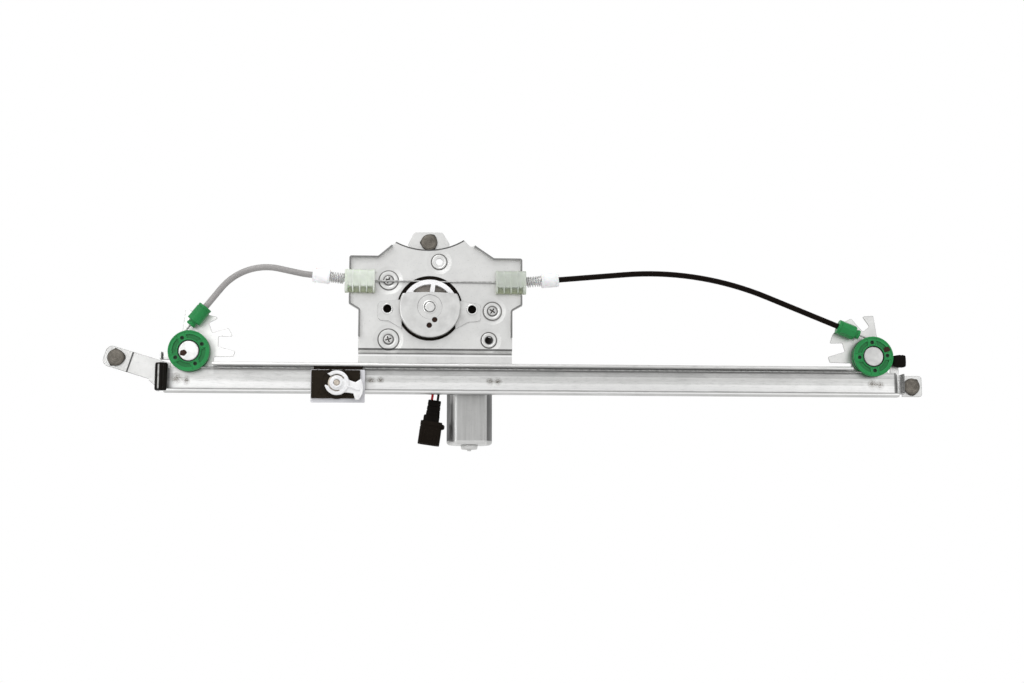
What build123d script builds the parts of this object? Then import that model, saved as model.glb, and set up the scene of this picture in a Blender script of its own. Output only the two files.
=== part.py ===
"""Cable window regulator for a van door, one STEP file per piece.

All sizes are in millimetres.  X runs along the guide rail, Z is up, and the
viewer stands on the -Y side.  The door panel lies on the plane Y = 0, and the
upper stud passes through the origin.
"""
import math
import os

from build123d import *

os.makedirs("parts", exist_ok=True)

# Sheet metal: steel thickness, and how far each layer stands from the door.
sheet = 1.5
rail_sheet = 1.2
end_back = 1.0
bracket_back = end_back + sheet
web_back = bracket_back + sheet
web_front = web_back + rail_sheet
plate_back = web_back + 2.5
plate_front = plate_back + sheet

# Moving clearance between faces that pass each other.
gap = 0.35
running = 0.05

# Lift cable and the depth of its plane.
cable_r = 0.75
cable_y = 10.0
cable_z = -116.6

# Guide rail.
rail_left = -232.0
rail_right = 427.0
rail_height = 27.5
rail_top = cable_z + 4.8
rail_bottom = rail_top - rail_height
lip = 3.4
lip_back = cable_y + cable_r + gap + 1.2 + gap
rail_front = lip_back + rail_sheet

# Cable drum and its cover.
drum_x = 1.0
drum_z = -61.5
drum_pitch = 24.0
drum_top = drum_z + drum_pitch
wrap_step = 1.0
drum_rim = drum_pitch + 1.2
drum_back = cable_y - wrap_step - cable_r - gap - 1.5
drum_front = cable_y + wrap_step + cable_r + gap + 1.5
plate_hole = 29.4
cover_r = 27.4
shaft_r = 4.4

# Pulleys at the rail ends.
pulley_pitch = 14.1
pulley_rim = 18.3
pulley_width = 7.0
pulley_z = cable_z + pulley_pitch
left_pulley_x = -211.2
right_pulley_x = 404.3
flange_left = left_pulley_x + pulley_rim + 2.3
flange_right = right_pulley_x - pulley_rim - 0.6
axle_r = 4.0
axle_head = 8.8

# Motor and worm gear.
worm_distance = 36.8
motor_x = drum_x + worm_distance
motor_y = 15.0
can_width = 41.0
can_depth = 31.6
can_top = -118.0
can_bottom = -182.8
wheel_teeth = 62
wheel_tip = 31.6
wheel_root = 29.8
wheel_front = 9.0
wheel_width = 12.0
wheel_room = 1.0
case_wall = 2.4
case_r = wheel_tip + wheel_room + case_wall
case_end = 23.0

# Carriage at rest.
carriage_x = -79.6
carriage_width = 47.6
carriage_low = -147.8
clip_x = -80.1
clip_z = -131.2
pad_depth = 2.5
base_back = rail_front + gap
base_front = base_back + 3.1
pad_front = base_front + pad_depth

# Studs, weld-on, with a round head on the viewer's side.
stud_r = 3.0
stud_length = 18.0
stud_head = 7.5
left_stud = (-276.5, -107.6)
right_stud = (442.4, -128.6)


def front(depth):
    """Sketch plane that faces the viewer, at Y = -depth."""
    return Plane.XZ.offset(depth)


def save(piece, node):
    """Label one piece and write it under its node name."""
    piece.part.label = node
    export_step(piece.part, "parts/" + node + ".step")


# Guide rail: C section with lips, open at the ends where the pulleys sit.
with BuildPart() as guide_rail:
    with BuildSketch(Plane.YZ.offset(rail_left)):
        with BuildLine():
            FilletPolyline(
                (-rail_front, rail_top - lip),
                (-rail_front, rail_top),
                (-web_back, rail_top),
                (-web_back, rail_bottom),
                (-rail_front, rail_bottom),
                (-rail_front, rail_bottom + lip),
                radius=2.0,
            )
            offset(amount=rail_sheet, side=Side.RIGHT)
        make_face()
    extrude(amount=rail_right - rail_left)
    for start, end in ((rail_left, flange_left), (flange_right, rail_right)):
        with BuildSketch(front(0)):
            with Locations(((start + end) / 2, cable_z + 10)):
                Rectangle(end - start, 20)
        extrude(amount=rail_front + 1, mode=Mode.SUBTRACT)
save(guide_rail, "guide_rail")


# Motor plate: pressed panel with a stud tab above and a weld strip below.
screw_places = ((-36.1, -36.5), (-35.7, -90.1), (57.3, -63.7))
rivet_places = ((-37.0, -62.5), (39.0, -62.5))
bush_a = (9.2, -19.1)
bush_b = (54.2, -90.2)
rivet_r = 3.9
bush_r = 3.2
strip_left = -62.6
strip_right = 75.2
fold = 5.0
with BuildPart() as motor_plate:
    with BuildSketch(front(plate_back)):
        with BuildLine():
            Polyline(
                (31.3, 1.4), (37.0, -4.6), (41.4, -4.2), (58.5, -15.8),
                (84.2, -15.8), (84.2, -58.7), (strip_right, -63.8),
                (strip_right, -98.2), (strip_left, -98.2), (strip_left, -63.8),
                (-71.4, -58.5), (-71.4, -14.8), (-45.6, -14.8), (-29.5, -1.0),
            )
            ThreePointArc((-29.5, -1.0), (1.5, -7.8), (31.3, 1.4))
        make_face()
        with Locations((drum_x, drum_z)):
            Circle(plate_hole, mode=Mode.SUBTRACT)
        with Locations(*screw_places):
            Circle(3.4, mode=Mode.SUBTRACT)
        with Locations(*rivet_places):
            Circle(rivet_r, mode=Mode.SUBTRACT)
        with Locations(bush_a, bush_b):
            Circle(bush_r, mode=Mode.SUBTRACT)
        # Windows under the cable holders, open at the wing edges.
        with Locations((-66.0, drum_top), (80.0, drum_top)):
            Rectangle(18.0, 7.6, mode=Mode.SUBTRACT)
    extrude(amount=sheet)
    # Raised rings around the screws and the two bushes.
    with BuildSketch(front(plate_front)):
        with Locations(*screw_places):
            Circle(8.6)
            Circle(7.6, mode=Mode.SUBTRACT)
        with Locations(bush_a, bush_b):
            Circle(6.5)
            Circle(bush_r, mode=Mode.SUBTRACT)
    extrude(amount=0.7)
    # Folded edges along the wings.
    for path in (
        ((-71.4, -26.5), (-71.4, -14.8), (-45.6, -14.8), (-33.5, -4.4)),
        ((41.4, -4.2), (58.5, -15.8), (84.2, -15.8), (84.2, -27.0)),
    ):
        with BuildSketch(front(plate_front - 0.5)):
            with BuildLine():
                FilletPolyline(*path, radius=2.0)
                offset(amount=sheet, side=Side.RIGHT)
            make_face()
        extrude(amount=fold)
    for path in (
        ((-62.6, -88.0), (-62.6, -63.8), (-71.4, -58.5), (-71.4, -49.5)),
        ((84.2, -49.5), (84.2, -58.7), (75.2, -63.8), (75.2, -88.0)),
    ):
        with BuildSketch(front(plate_front - 0.5)):
            with BuildLine():
                FilletPolyline(*path, radius=2.0)
                offset(amount=sheet, side=Side.RIGHT)
            make_face()
        extrude(amount=fold)
    # Lower strip, stepped back behind the rail web.
    with BuildSketch(Plane.YZ.offset(strip_left)):
        with BuildLine():
            Polyline(
                (-plate_front, -98.2), (-plate_back, -98.2), (-bracket_back, -102.6),
                (-bracket_back, -134.0), (-web_back, -134.0), (-web_back, -102.6),
                close=True,
            )
        make_face()
    extrude(amount=strip_right - strip_left)
    # Stud tab, stepped back to the door.
    with BuildSketch(Plane.YZ.offset(-17.0)):
        with BuildLine():
            Polyline(
                (-plate_front, -12.4), (-plate_back, -12.4), (0, -9.4), (-sheet, -8.0),
                close=True,
            )
        make_face()
    extrude(amount=34.0)
    with BuildSketch(front(0)):
        with BuildLine():
            FilletPolyline(
                (-17.0, -9.0), (-19.0, -1.6), (-13.3, 9.4), (11.9, 9.6), (18.6, -1.0), (17.0, -9.0),
                radius=3.0,
            )
            Line((17.0, -9.0), (-17.0, -9.0))
        make_face()
        Circle(3.4, mode=Mode.SUBTRACT)
    extrude(amount=sheet)
save(motor_plate, "motor_plate")


# Weld studs: head in front of the sheet, shank through it towards the door.
def make_stud(x, z):
    with BuildPart() as stud:
        with BuildSketch(front(sheet)):
            with Locations((x, z)):
                Circle(stud_head)
        extrude(amount=2.2)
        chamfer(stud.edges().sort_by(Axis.Y)[0], length=0.6)
        with BuildSketch(front(0)):
            with Locations((x, z)):
                Circle(3.4)
        extrude(amount=sheet)
        with BuildSketch(front(-stud_length)):
            with Locations((x, z)):
                Circle(stud_r)
        extrude(amount=stud_length)
        chamfer(stud.edges().sort_by(Axis.Y)[-1], length=0.6)
    return stud


for node, place in (("upper_stud", (0, 0)), ("left_stud", left_stud), ("right_stud", right_stud)):
    save(make_stud(*place), node)


# Left end bracket: weld pad behind the rail, sloping arm and stud tab.
slope = 17.0
arm = Plane(
    origin=(left_stud[0], 0, left_stud[1]),
    x_dir=(math.cos(math.radians(slope)), 0, -math.sin(math.radians(slope))),
    z_dir=(0, -1, 0),
)
joggle_x = 13.0
with BuildPart() as left_end_bracket:
    with BuildSketch(arm):
        with BuildLine():
            FilletPolyline(
                (joggle_x, -9.5), (-10.5, -9.5), (-10.5, 9.3), (joggle_x, 9.3),
                radius=6.0,
            )
            Line((joggle_x, 9.3), (joggle_x, -9.5))
        make_face()
        Circle(3.4, mode=Mode.SUBTRACT)
    extrude(amount=sheet)
    with BuildSketch(arm.offset(end_back)):
        with Locations((joggle_x, -0.1)):
            Rectangle(32.0, 18.8, align=(Align.MIN, Align.CENTER))
    extrude(amount=sheet)
    with BuildSketch(front(end_back)):
        with BuildLine():
            FilletPolyline(
                (-247.0, -107.2), (-238.0, -109.8), (-206.0, -118.0),
                (-206.0, -136.0), (-238.0, -136.0), (-247.0, -127.6),
                radius=2.0,
            )
            Line((-247.0, -127.6), (-247.0, -107.2))
        make_face()
    extrude(amount=sheet)
    # Wall folded towards the viewer, which carries the rubber buffer.
    with BuildSketch(front(end_back)):
        with BuildLine():
            Polyline((-237.6, -136.0), (-236.1, -136.0), (-236.1, -114.4), (-237.6, -114.4), close=True)
        make_face()
    extrude(amount=rail_front - end_back)
save(left_end_bracket, "left_end_bracket")


# Right end bracket: weld pad, folded wall, stepped stud tab and buffer lug.
with BuildPart() as right_end_bracket:
    with BuildSketch(front(end_back)):
        with BuildLine():
            FilletPolyline(
                (434.5, -119.2), (430.6, -119.2), (430.6, -103.0), (422.6, -103.0),
                (422.6, -119.2), (402.0, -119.2), (402.0, -136.0), (434.5, -136.0),
                radius=1.5,
            )
            Line((434.5, -136.0), (434.5, -119.2))
        make_face()
    extrude(amount=sheet)
    with BuildSketch(front(end_back)):
        with Locations((430.6, -127.2)):
            Rectangle(sheet, 17.6, align=(Align.MIN, Align.CENTER))
    extrude(amount=rail_front - end_back)
    with BuildSketch(front(0)):
        with BuildLine():
            FilletPolyline(
                (433.5, -118.8), (452.1, -118.8), (452.1, -138.0), (433.5, -138.0),
                radius=3.0,
            )
            Line((433.5, -138.0), (433.5, -118.8))
        make_face()
        with Locations(right_stud):
            Circle(3.4, mode=Mode.SUBTRACT)
    extrude(amount=sheet)
save(right_end_bracket, "right_end_bracket")


# Rubber buffers on the two end walls.
with BuildPart() as left_buffer:
    with BuildSketch(Plane.XY.offset(rail_bottom + rail_sheet + 0.2)):
        with BuildLine():
            FilletPolyline(
                (-240.0, -web_back), (-240.0, -rail_front - 3.0),
                (-233.4, -rail_front - 3.0), (-233.4, -rail_front + 2.0),
                radius=3.0,
            )
            Polyline(
                (-233.4, -rail_front + 2.0), (-228.9, -rail_front + 2.0),
                (-228.9, -rail_front + 4.0), (-236.1, -rail_front + 4.0),
                (-236.1, -rail_front), (-237.6, -rail_front),
                (-237.6, -web_back), (-240.0, -web_back),
            )
        make_face()
    extrude(amount=24.6)
save(left_buffer, "left_buffer")

with BuildPart() as right_buffer:
    with BuildSketch(front(bracket_back)):
        with Locations((429.6, -105.9)):
            RectangleRounded(12.8, 11.6, 2.0)
    extrude(amount=7.5)
save(right_buffer, "right_buffer")


# Pulley brackets: flat sheet behind the rail web, with hooks and U slots.
left_hooks = (
    (-216.1, -63.9), (-186.4, -71.3), (-195.5, -76.2), (-192.3, -85.1),
    (-178.4, -80.6), (-173.7, -88.0), (-186.7, -88.1), (-186.7, -97.3),
    (-171.6, -101.4), (-173.1, -106.2), (-190.2, -106.6), (-190.2, -134.0),
    (-228.0, -134.0), (-228.0, -104.0), (-218.5, -82.4),
)
right_hooks = (
    (408.3, -63.6), (397.9, -64.2), (404.3, -73.7), (398.2, -78.7),
    (387.4, -66.4), (379.7, -70.1), (369.8, -81.4), (366.9, -89.6),
    (378.6, -89.2), (380.8, -97.2), (364.9, -102.0), (366.5, -107.3),
    (386.1, -107.8), (386.1, -134.0), (421.0, -134.0), (421.0, -120.0),
    (410.9, -83.0),
)


def make_pulley_bracket(outline, x):
    with BuildPart() as bracket:
        with BuildSketch(front(bracket_back)) as face:
            with BuildLine():
                Polyline(*outline, close=True)
            make_face()
            fillet(face.vertices(), radius=1.1)
            with Locations((x, pulley_z)):
                Circle(axle_r - 1.0, mode=Mode.SUBTRACT)
        extrude(amount=sheet)
    return bracket


save(make_pulley_bracket(left_hooks, left_pulley_x), "left_pulley_bracket")
save(make_pulley_bracket(right_hooks, right_pulley_x), "right_pulley_bracket")


# Pulley axles: shouldered rivets with a broad flat head.
pulley_back = cable_y - pulley_width / 2
pulley_front = cable_y + pulley_width / 2
bore_floor = pulley_front - 1.2


def make_axle(x):
    with BuildPart() as axle:
        with BuildSketch(front(bracket_back)):
            with Locations((x, pulley_z)):
                Circle(axle_r - 1.0)
        extrude(amount=sheet)
        with BuildSketch(front(web_back)):
            with Locations((x, pulley_z)):
                Circle(7.0)
        extrude(amount=pulley_back - gap - web_back)
        with BuildSketch(front(web_back)):
            with Locations((x, pulley_z)):
                Circle(axle_r)
        extrude(amount=bore_floor + gap - web_back)
        with BuildSketch(front(bore_floor + gap)):
            with Locations((x, pulley_z)):
                Circle(axle_head)
        extrude(amount=1.6)
        chamfer(axle.edges().sort_by(Axis.Y)[0], length=0.5)
    return axle


# Pulley: grooved disc, four small holes, four curved recesses, sunk hub.
def make_pulley(x, turn):
    with BuildPart() as pulley:
        with BuildSketch(front(pulley_back)):
            with Locations((x, pulley_z)):
                Circle(pulley_rim)
        extrude(amount=pulley_width)
        groove = cable_r + gap
        with BuildSketch(front(cable_y - groove)):
            with Locations((x, pulley_z)):
                Circle(pulley_rim + 1)
                Circle(pulley_pitch - cable_r - gap, mode=Mode.SUBTRACT)
        extrude(amount=2 * groove, mode=Mode.SUBTRACT)
        with BuildSketch(front(pulley_back)):
            with Locations((x, pulley_z)):
                Circle(axle_r + running)
                with PolarLocations(12.9, 4, start_angle=turn):
                    Circle(1.3)
        extrude(amount=pulley_width, mode=Mode.SUBTRACT)
        with BuildSketch(front(bore_floor)):
            with Locations((x, pulley_z)):
                Circle(axle_head + 0.8)
        extrude(amount=pulley_width, mode=Mode.SUBTRACT)
        # Four shallow windows in the face, with bridges that carry the small holes.
        with BuildSketch(front(pulley_front - 0.9)):
            with Locations((x, pulley_z)):
                Circle(14.6)
                Circle(11.2, mode=Mode.SUBTRACT)
                Rectangle(40, 8.4, rotation=turn, mode=Mode.SUBTRACT)
                Rectangle(8.4, 40, rotation=turn, mode=Mode.SUBTRACT)
        extrude(amount=1.0, mode=Mode.SUBTRACT)
    return pulley


for side, x, turn in (("left", left_pulley_x, 28), ("right", right_pulley_x, 4)):
    save(make_axle(x), side + "_pulley_axle")
    save(make_pulley(x, turn), side + "_pulley")


# Bowden cable layout: tilt of the sleeves, and the runs to the pulleys.
hinge_x = {"left": -59.7, "right": 85.0}
tilt = {"left": 6.2, "right": 5.2}
side_sign = {"left": -1, "right": 1}
holder_span = {"left": (-75.1, -48.3), "right": (60.3, 87.4)}
sleeve_span = {"left": (-103.7, -88.4), "right": (116.9, 101.4)}
conduit_r = {"left": 2.8, "right": 2.5}
cable_bore = cable_r + gap + 0.1
heading = {"left": 52.0, "right": -22.0}
corner_at = {"left": 92.8, "right": 177.4}
bend = {"left": 51.0, "right": 280.0}
ferrule_start = 22.6
ferrule_length = 17.0
nose_length = 4.1


def sleeve_z(side, x):
    """Height of the tilted sleeve axis at x."""
    return drum_top + math.tan(math.radians(tilt[side])) * abs(x - hinge_x[side])


def toward_holder(side, x):
    """Plane across the sleeve axis at x, its normal towards the holder."""
    a = math.radians(tilt[side])
    direction = (-side_sign[side] * math.cos(a), 0, -math.sin(a))
    return Plane(origin=(x, -cable_y, sleeve_z(side, x)), x_dir=(0, 1, 0), z_dir=direction)


def touch(side):
    """Point where the cable leaves the pulley towards its ferrule."""
    a = math.radians(heading[side])
    x = left_pulley_x if side == "left" else right_pulley_x
    return (x - pulley_pitch * math.sin(a), pulley_z + pulley_pitch * math.cos(a))


def along_ferrule(side, distance):
    """Point on the ferrule axis, measured from the pulley's tangent point."""
    a = math.radians(heading[side])
    s = -side_sign[side]
    x, z = touch(side)
    return (x + s * distance * math.cos(a), z + s * distance * math.sin(a))


def across_ferrule(side, distance):
    """Plane across the ferrule axis, its normal towards the pulley."""
    a = math.radians(heading[side])
    s = side_sign[side]
    x, z = along_ferrule(side, distance)
    direction = (s * math.cos(a), 0, s * math.sin(a))
    return Plane(origin=(x, -cable_y, z), x_dir=(0, 1, 0), z_dir=direction)


def at_cable(point):
    return (point[0], -cable_y, point[1])


def conduit_route(side):
    """Corner points of a conduit from its ferrule to its sleeve."""
    start = at_cable(along_ferrule(side, ferrule_start + 6.0))
    end_x = sleeve_span[side][1] + side_sign[side] * 3.6
    end = (end_x, -cable_y, sleeve_z(side, end_x))
    knee_x = sleeve_span[side][0] + side_sign[side] * 8.4
    knee = (knee_x, -cable_y, sleeve_z(side, knee_x))
    return start, at_cable(along_ferrule(side, corner_at[side])), knee, end


def make_conduit(side):
    with BuildPart() as conduit:
        with BuildLine() as path:
            FilletPolyline(*conduit_route(side), radius=[bend[side], 60.0])
        with BuildSketch(Plane(origin=path.line @ 0, z_dir=path.line % 0)):
            Circle(conduit_r[side])
            Circle(cable_bore, mode=Mode.SUBTRACT)
        sweep(path=path.line)
    return conduit


def make_ferrule(side):
    rear = ferrule_start + ferrule_length
    with BuildPart() as ferrule:
        with BuildSketch(across_ferrule(side, rear)):
            Circle(6.4)
        extrude(amount=ferrule_length)
        with BuildSketch(across_ferrule(side, rear - 4.0)):
            Circle(7.0)
            Circle(5.7, mode=Mode.SUBTRACT)
        extrude(amount=1.6, mode=Mode.SUBTRACT)
        with BuildSketch(across_ferrule(side, ferrule_start)):
            Circle(3.9)
        extrude(amount=nose_length)
        with BuildSketch(across_ferrule(side, rear)):
            Circle(cable_bore)
        extrude(amount=40, mode=Mode.SUBTRACT)
        with BuildSketch(across_ferrule(side, rear)):
            Circle(conduit_r[side])
        extrude(amount=ferrule_length - 6.0, mode=Mode.SUBTRACT)
        # Flat back that rests on the bracket.
        with BuildSketch(front(0)):
            with Locations(along_ferrule(side, ferrule_start)):
                Rectangle(80, 80)
        extrude(amount=web_back, mode=Mode.SUBTRACT)
    return ferrule


# Sliding sleeve: cup over the conduit's end with a guide tube for the spring.
guide_length = 20.0


def make_sleeve(side):
    outer, inner = sleeve_span[side]
    length = abs(outer - inner) / math.cos(math.radians(tilt[side]))
    with BuildPart() as sleeve:
        with BuildSketch(toward_holder(side, outer)):
            Circle(6.3)
        extrude(amount=length)
        chamfer(sleeve.edges().filter_by(GeomType.CIRCLE), length=0.5)
        with BuildSketch(toward_holder(side, inner)):
            Circle(2.9)
        extrude(amount=guide_length)
        with BuildSketch(toward_holder(side, outer)):
            Circle(conduit_r[side] + running)
        extrude(amount=length - 3.2, mode=Mode.SUBTRACT)
        with BuildSketch(toward_holder(side, outer)):
            Circle(1.7)
        extrude(amount=length + guide_length, mode=Mode.SUBTRACT)
    return sleeve


# Coil spring between a sleeve and its holder.
spring_wire = 1.3
spring_outer = 5.0


def make_spring(side):
    inner = sleeve_span[side][1]
    mouth = holder_span[side][0] if side == "left" else holder_span[side][1]
    height = abs(inner - mouth) - spring_wire - 1.2
    middle = spring_outer - spring_wire / 2
    with BuildPart() as coil:
        with BuildLine() as turns:
            Helix(pitch=height / 6.5, height=height, radius=middle)
        with BuildSketch(Plane(origin=turns.line @ 0, z_dir=turns.line % 0)):
            RegularPolygon(spring_wire / 2, 8)
        sweep(path=turns.line, is_frenet=True)
    seat = toward_holder(side, inner).offset(spring_wire / 2 + 0.15)
    with BuildPart() as spring:
        with Locations(seat.location):
            add(coil.part)
    return spring


# Cable holder: ribbed plastic block snapped on the plate.
holder_height = 20.6
holder_front = 17.0


def make_holder(side):
    low, high = holder_span[side]
    centre = (low + high) / 2
    mouth = low if side == "left" else high
    with BuildPart() as holder:
        with BuildSketch(front(plate_front)):
            with Locations((centre, drum_top - 0.5)):
                RectangleRounded(high - low, holder_height, 1.5)
        extrude(amount=holder_front - plate_front)
        # Grooves between the ribs, and notches in the upper and lower edges.
        with BuildSketch(front(holder_front - 1.6)):
            with GridLocations(5.6, 0, 4, 1):
                with Locations((centre, drum_top - 0.5)):
                    SlotOverall(holder_height - 5.0, 2.4, rotation=90)
        extrude(amount=3, mode=Mode.SUBTRACT)
        with BuildSketch(front(plate_front + 2.0)):
            with GridLocations(5.6, holder_height, 5, 2):
                with Locations((centre, drum_top - 0.5)):
                    Rectangle(2.0, 2.4)
        extrude(amount=20, mode=Mode.SUBTRACT)
        with BuildSketch(toward_holder(side, mouth - side_sign[side] * -2.0)):
            Circle(3.4)
        extrude(amount=16.0, mode=Mode.SUBTRACT)
        with BuildSketch(Plane.YZ.offset(low - 1)):
            with Locations((-cable_y, drum_top)):
                Circle(1.9)
        extrude(amount=high - low + 2, mode=Mode.SUBTRACT)
    return holder


for side in ("left", "right"):
    save(make_conduit(side), side + "_conduit")
    save(make_ferrule(side), side + "_ferrule")
    save(make_sleeve(side), side + "_sleeve")
    save(make_spring(side), side + "_spring")
    save(make_holder(side), side + "_cable_holder")


# Lift cable: from the drum through both conduits, round the pulleys, along the rail.
left_wrap = cable_y + wrap_step
right_wrap = cable_y - wrap_step


def drum_side(side):
    """Route from the drum's top to the pulley's tangent point."""
    s = side_sign[side]
    wrap = left_wrap if side == "left" else right_wrap
    start, bend_point, knee, end = conduit_route(side)
    return (
        (drum_x, -wrap, drum_top),
        (drum_x + s * 14.0, -wrap, drum_top),
        (hinge_x[side] - s * 8.0, -cable_y, drum_top),
        (hinge_x[side], -cable_y, drum_top),
        knee,
        bend_point,
        at_cable(touch(side)),
    )


def half_cable(side):
    """One end of the cable, from its turn on the drum to the middle of the rail."""
    s = side_sign[side]
    wrap = left_wrap if side == "left" else right_wrap
    pulley_x = left_pulley_x if side == "left" else right_pulley_x
    drum_plane = Plane(origin=(drum_x, -wrap, drum_z), x_dir=(1, 0, 0), z_dir=(0, -1, 0))
    pulley_plane = Plane(
        origin=(pulley_x, -cable_y, pulley_z), x_dir=(1, 0, 0), z_dir=(0, -1, 0)
    )
    with BuildPart() as half:
        with BuildLine(drum_plane) as turn:
            CenterArc((0, 0), drum_pitch, 90, s * 300)
        with BuildLine() as run:
            FilletPolyline(*drum_side(side), radius=[150.0, 150.0, 60.0, 60.0, bend[side]])
        first = 90 + heading[side]
        with BuildLine(pulley_plane) as round_pulley:
            if side == "left":
                CenterArc((0, 0), pulley_pitch, first, 270 - first)
            else:
                CenterArc((0, 0), pulley_pitch, first, -(first + 90))
        with BuildSketch(Plane(origin=turn.line @ 0, z_dir=turn.line % 0)):
            Circle(cable_r)
        sweep(path=turn.line)
        with BuildSketch(Plane(origin=run.line @ 0, z_dir=run.line % 0)):
            Circle(cable_r)
        sweep(path=run.line)
        with BuildSketch(Plane(origin=round_pulley.line @ 0, z_dir=round_pulley.line % 0)):
            Circle(cable_r)
        sweep(path=round_pulley.line)
    return half


with BuildPart() as lift_cable:
    add(half_cable("left").part)
    add(half_cable("right").part)
    with BuildSketch(Plane.YZ.offset(left_pulley_x)):
        with Locations((-cable_y, cable_z)):
            Circle(cable_r)
    extrude(amount=right_pulley_x - left_pulley_x)
save(lift_cable, "lift_cable")


# Cable drum: one wide groove for both turns, windows, and a keyed bore.
with BuildPart() as cable_drum:
    with BuildSketch(front(drum_back)):
        with Locations((drum_x, drum_z)):
            Circle(drum_rim)
    extrude(amount=drum_front - drum_back)
    groove_half = wrap_step + cable_r + gap
    with BuildSketch(front(cable_y - groove_half)):
        with Locations((drum_x, drum_z)):
            Circle(drum_rim + 1)
            Circle(drum_pitch - cable_r - gap, mode=Mode.SUBTRACT)
    extrude(amount=2 * groove_half, mode=Mode.SUBTRACT)
    with BuildSketch(front(drum_back + 2.0)):
        with Locations((drum_x, drum_z)):
            Circle(21.0)
            Circle(13.4, mode=Mode.SUBTRACT)
            with PolarLocations(17.0, 6, start_angle=82):
                Rectangle(10, 4.0, mode=Mode.SUBTRACT)
    extrude(amount=drum_front, mode=Mode.SUBTRACT)
    with BuildSketch(front(drum_back)):
        with Locations((drum_x, drum_z)):
            Circle(shaft_r)
    extrude(amount=drum_front, mode=Mode.SUBTRACT)
save(cable_drum, "cable_drum")


# Drum cover: dished cap with two ears, cut away at the top for the cable.
cover_inner = drum_front + 1.8
cover_front = cover_inner + 1.2
with BuildPart() as drum_cover:
    with BuildSketch(front(plate_front)) as ears:
        Polygon((-45.6, -56.2), (-45.6, -72.8), (-36.0, -73.4), (-24.0, -80.4), (-24.0, -53.8), align=None)
        Polygon((47.0, -57.8), (24.0, -54.0), (24.0, -80.6), (36.0, -73.8), (47.0, -73.2), align=None)
        fillet(ears.vertices().filter_by(lambda v: abs(v.X) > 30), radius=4.0)
    extrude(amount=rail_sheet)
    with BuildSketch(front(plate_front)):
        with Locations((drum_x, drum_z)):
            Circle(cover_r)
    extrude(amount=cover_front - plate_front)
    rim = drum_cover.edges().filter_by(GeomType.CIRCLE).sort_by(Axis.Y)[0]
    fillet(rim, radius=1.6)
    with BuildSketch(front(plate_front)):
        with Locations((drum_x, drum_z)):
            Circle(cover_r - rail_sheet)
    extrude(amount=cover_inner - plate_front, mode=Mode.SUBTRACT)
    # Pressed ring and centre hole.
    with BuildSketch(front(cover_front - 0.7)):
        with Locations((drum_x, drum_z)):
            Circle(11.0)
    extrude(amount=2, mode=Mode.SUBTRACT)
    with BuildSketch(front(plate_front)):
        with Locations((drum_x, drum_z)):
            Circle(shaft_r + 0.5)
        with Locations((drum_x + 4.4, drum_z - 11.6), (drum_x - 0.4, drum_z - 16.7)):
            Circle(2.4)
        with Locations(*rivet_places):
            Circle(rivet_r)
    extrude(amount=20, mode=Mode.SUBTRACT)
    with BuildSketch(front(plate_front)):
        with BuildLine():
            ThreePointArc(
                (drum_x - 40, drum_z + 9.8), (drum_x, drum_z + 13.4), (drum_x + 40, drum_z + 9.8)
            )
            Polyline(
                (drum_x + 40, drum_z + 9.8), (drum_x + 40, drum_z + 40),
                (drum_x - 40, drum_z + 40), (drum_x - 40, drum_z + 9.8),
            )
        make_face()
    extrude(amount=20, mode=Mode.SUBTRACT)
save(drum_cover, "drum_cover")


# Tubular rivets through the cover's ears and the plate.
with BuildPart() as cover_rivets:
    with BuildSketch(front(plate_back - 0.8)):
        with Locations(*rivet_places):
            Circle(rivet_r)
    extrude(amount=sheet + rail_sheet + 1.6)
    for start, height in ((plate_back - 0.8, 0.8), (plate_front + rail_sheet, 0.9)):
        with BuildSketch(front(start)):
            with Locations(*rivet_places):
                Circle(5.1)
        extrude(amount=height)
    with BuildSketch(front(0)):
        with Locations(*rivet_places):
            Circle(3.3)
    extrude(amount=20, mode=Mode.SUBTRACT)
save(cover_rivets, "cover_rivets")


# Motor screws with raised heads.
with BuildPart() as motor_screws:
    with BuildSketch(front(-2.0)):
        with Locations(*screw_places):
            Circle(2.5)
    extrude(amount=plate_front + 2.0)
    with BuildSketch(front(plate_front)):
        with Locations(*screw_places):
            Circle(4.2)
    extrude(amount=1.3)
    heads = motor_screws.edges().filter_by(GeomType.CIRCLE).group_by(Axis.Y)[0]
    chamfer(heads, length=0.6)
    with BuildSketch(front(plate_front + 0.6)):
        with Locations(*screw_places):
            Rectangle(4.2, 0.9)
            Rectangle(0.9, 4.2)
    extrude(amount=2, mode=Mode.SUBTRACT)
save(motor_screws, "motor_screws")


# Output shaft: carries the drum and the worm wheel.
with BuildPart() as output_shaft:
    with BuildSketch(front(-wheel_front - wheel_width - 1.4)):
        with Locations((drum_x, drum_z)):
            Circle(shaft_r)
    extrude(amount=wheel_front + wheel_width + 1.4 + cover_front + 0.9)
    chamfer(output_shaft.edges().sort_by(Axis.Y)[0], length=0.6)
save(output_shaft, "output_shaft")


# Worm wheel with plain teeth.
with BuildPart() as worm_wheel:
    with BuildSketch(front(-wheel_front - wheel_width)):
        with Locations((drum_x, drum_z)):
            Circle(wheel_root)
            with PolarLocations(wheel_root - 0.5, wheel_teeth):
                Trapezoid(1.7, wheel_tip - wheel_root + 0.5, 72, rotation=-90,
                          align=(Align.CENTER, Align.MIN))
            Circle(shaft_r, mode=Mode.SUBTRACT)
    extrude(amount=wheel_width)
    for start in (-wheel_front - 4.0, -wheel_front - wheel_width):
        with BuildSketch(front(start)):
            with Locations((drum_x, drum_z)):
                Circle(25.0)
                Circle(10.0, mode=Mode.SUBTRACT)
        extrude(amount=4.0, mode=Mode.SUBTRACT)
save(worm_wheel, "worm_wheel")


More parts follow.
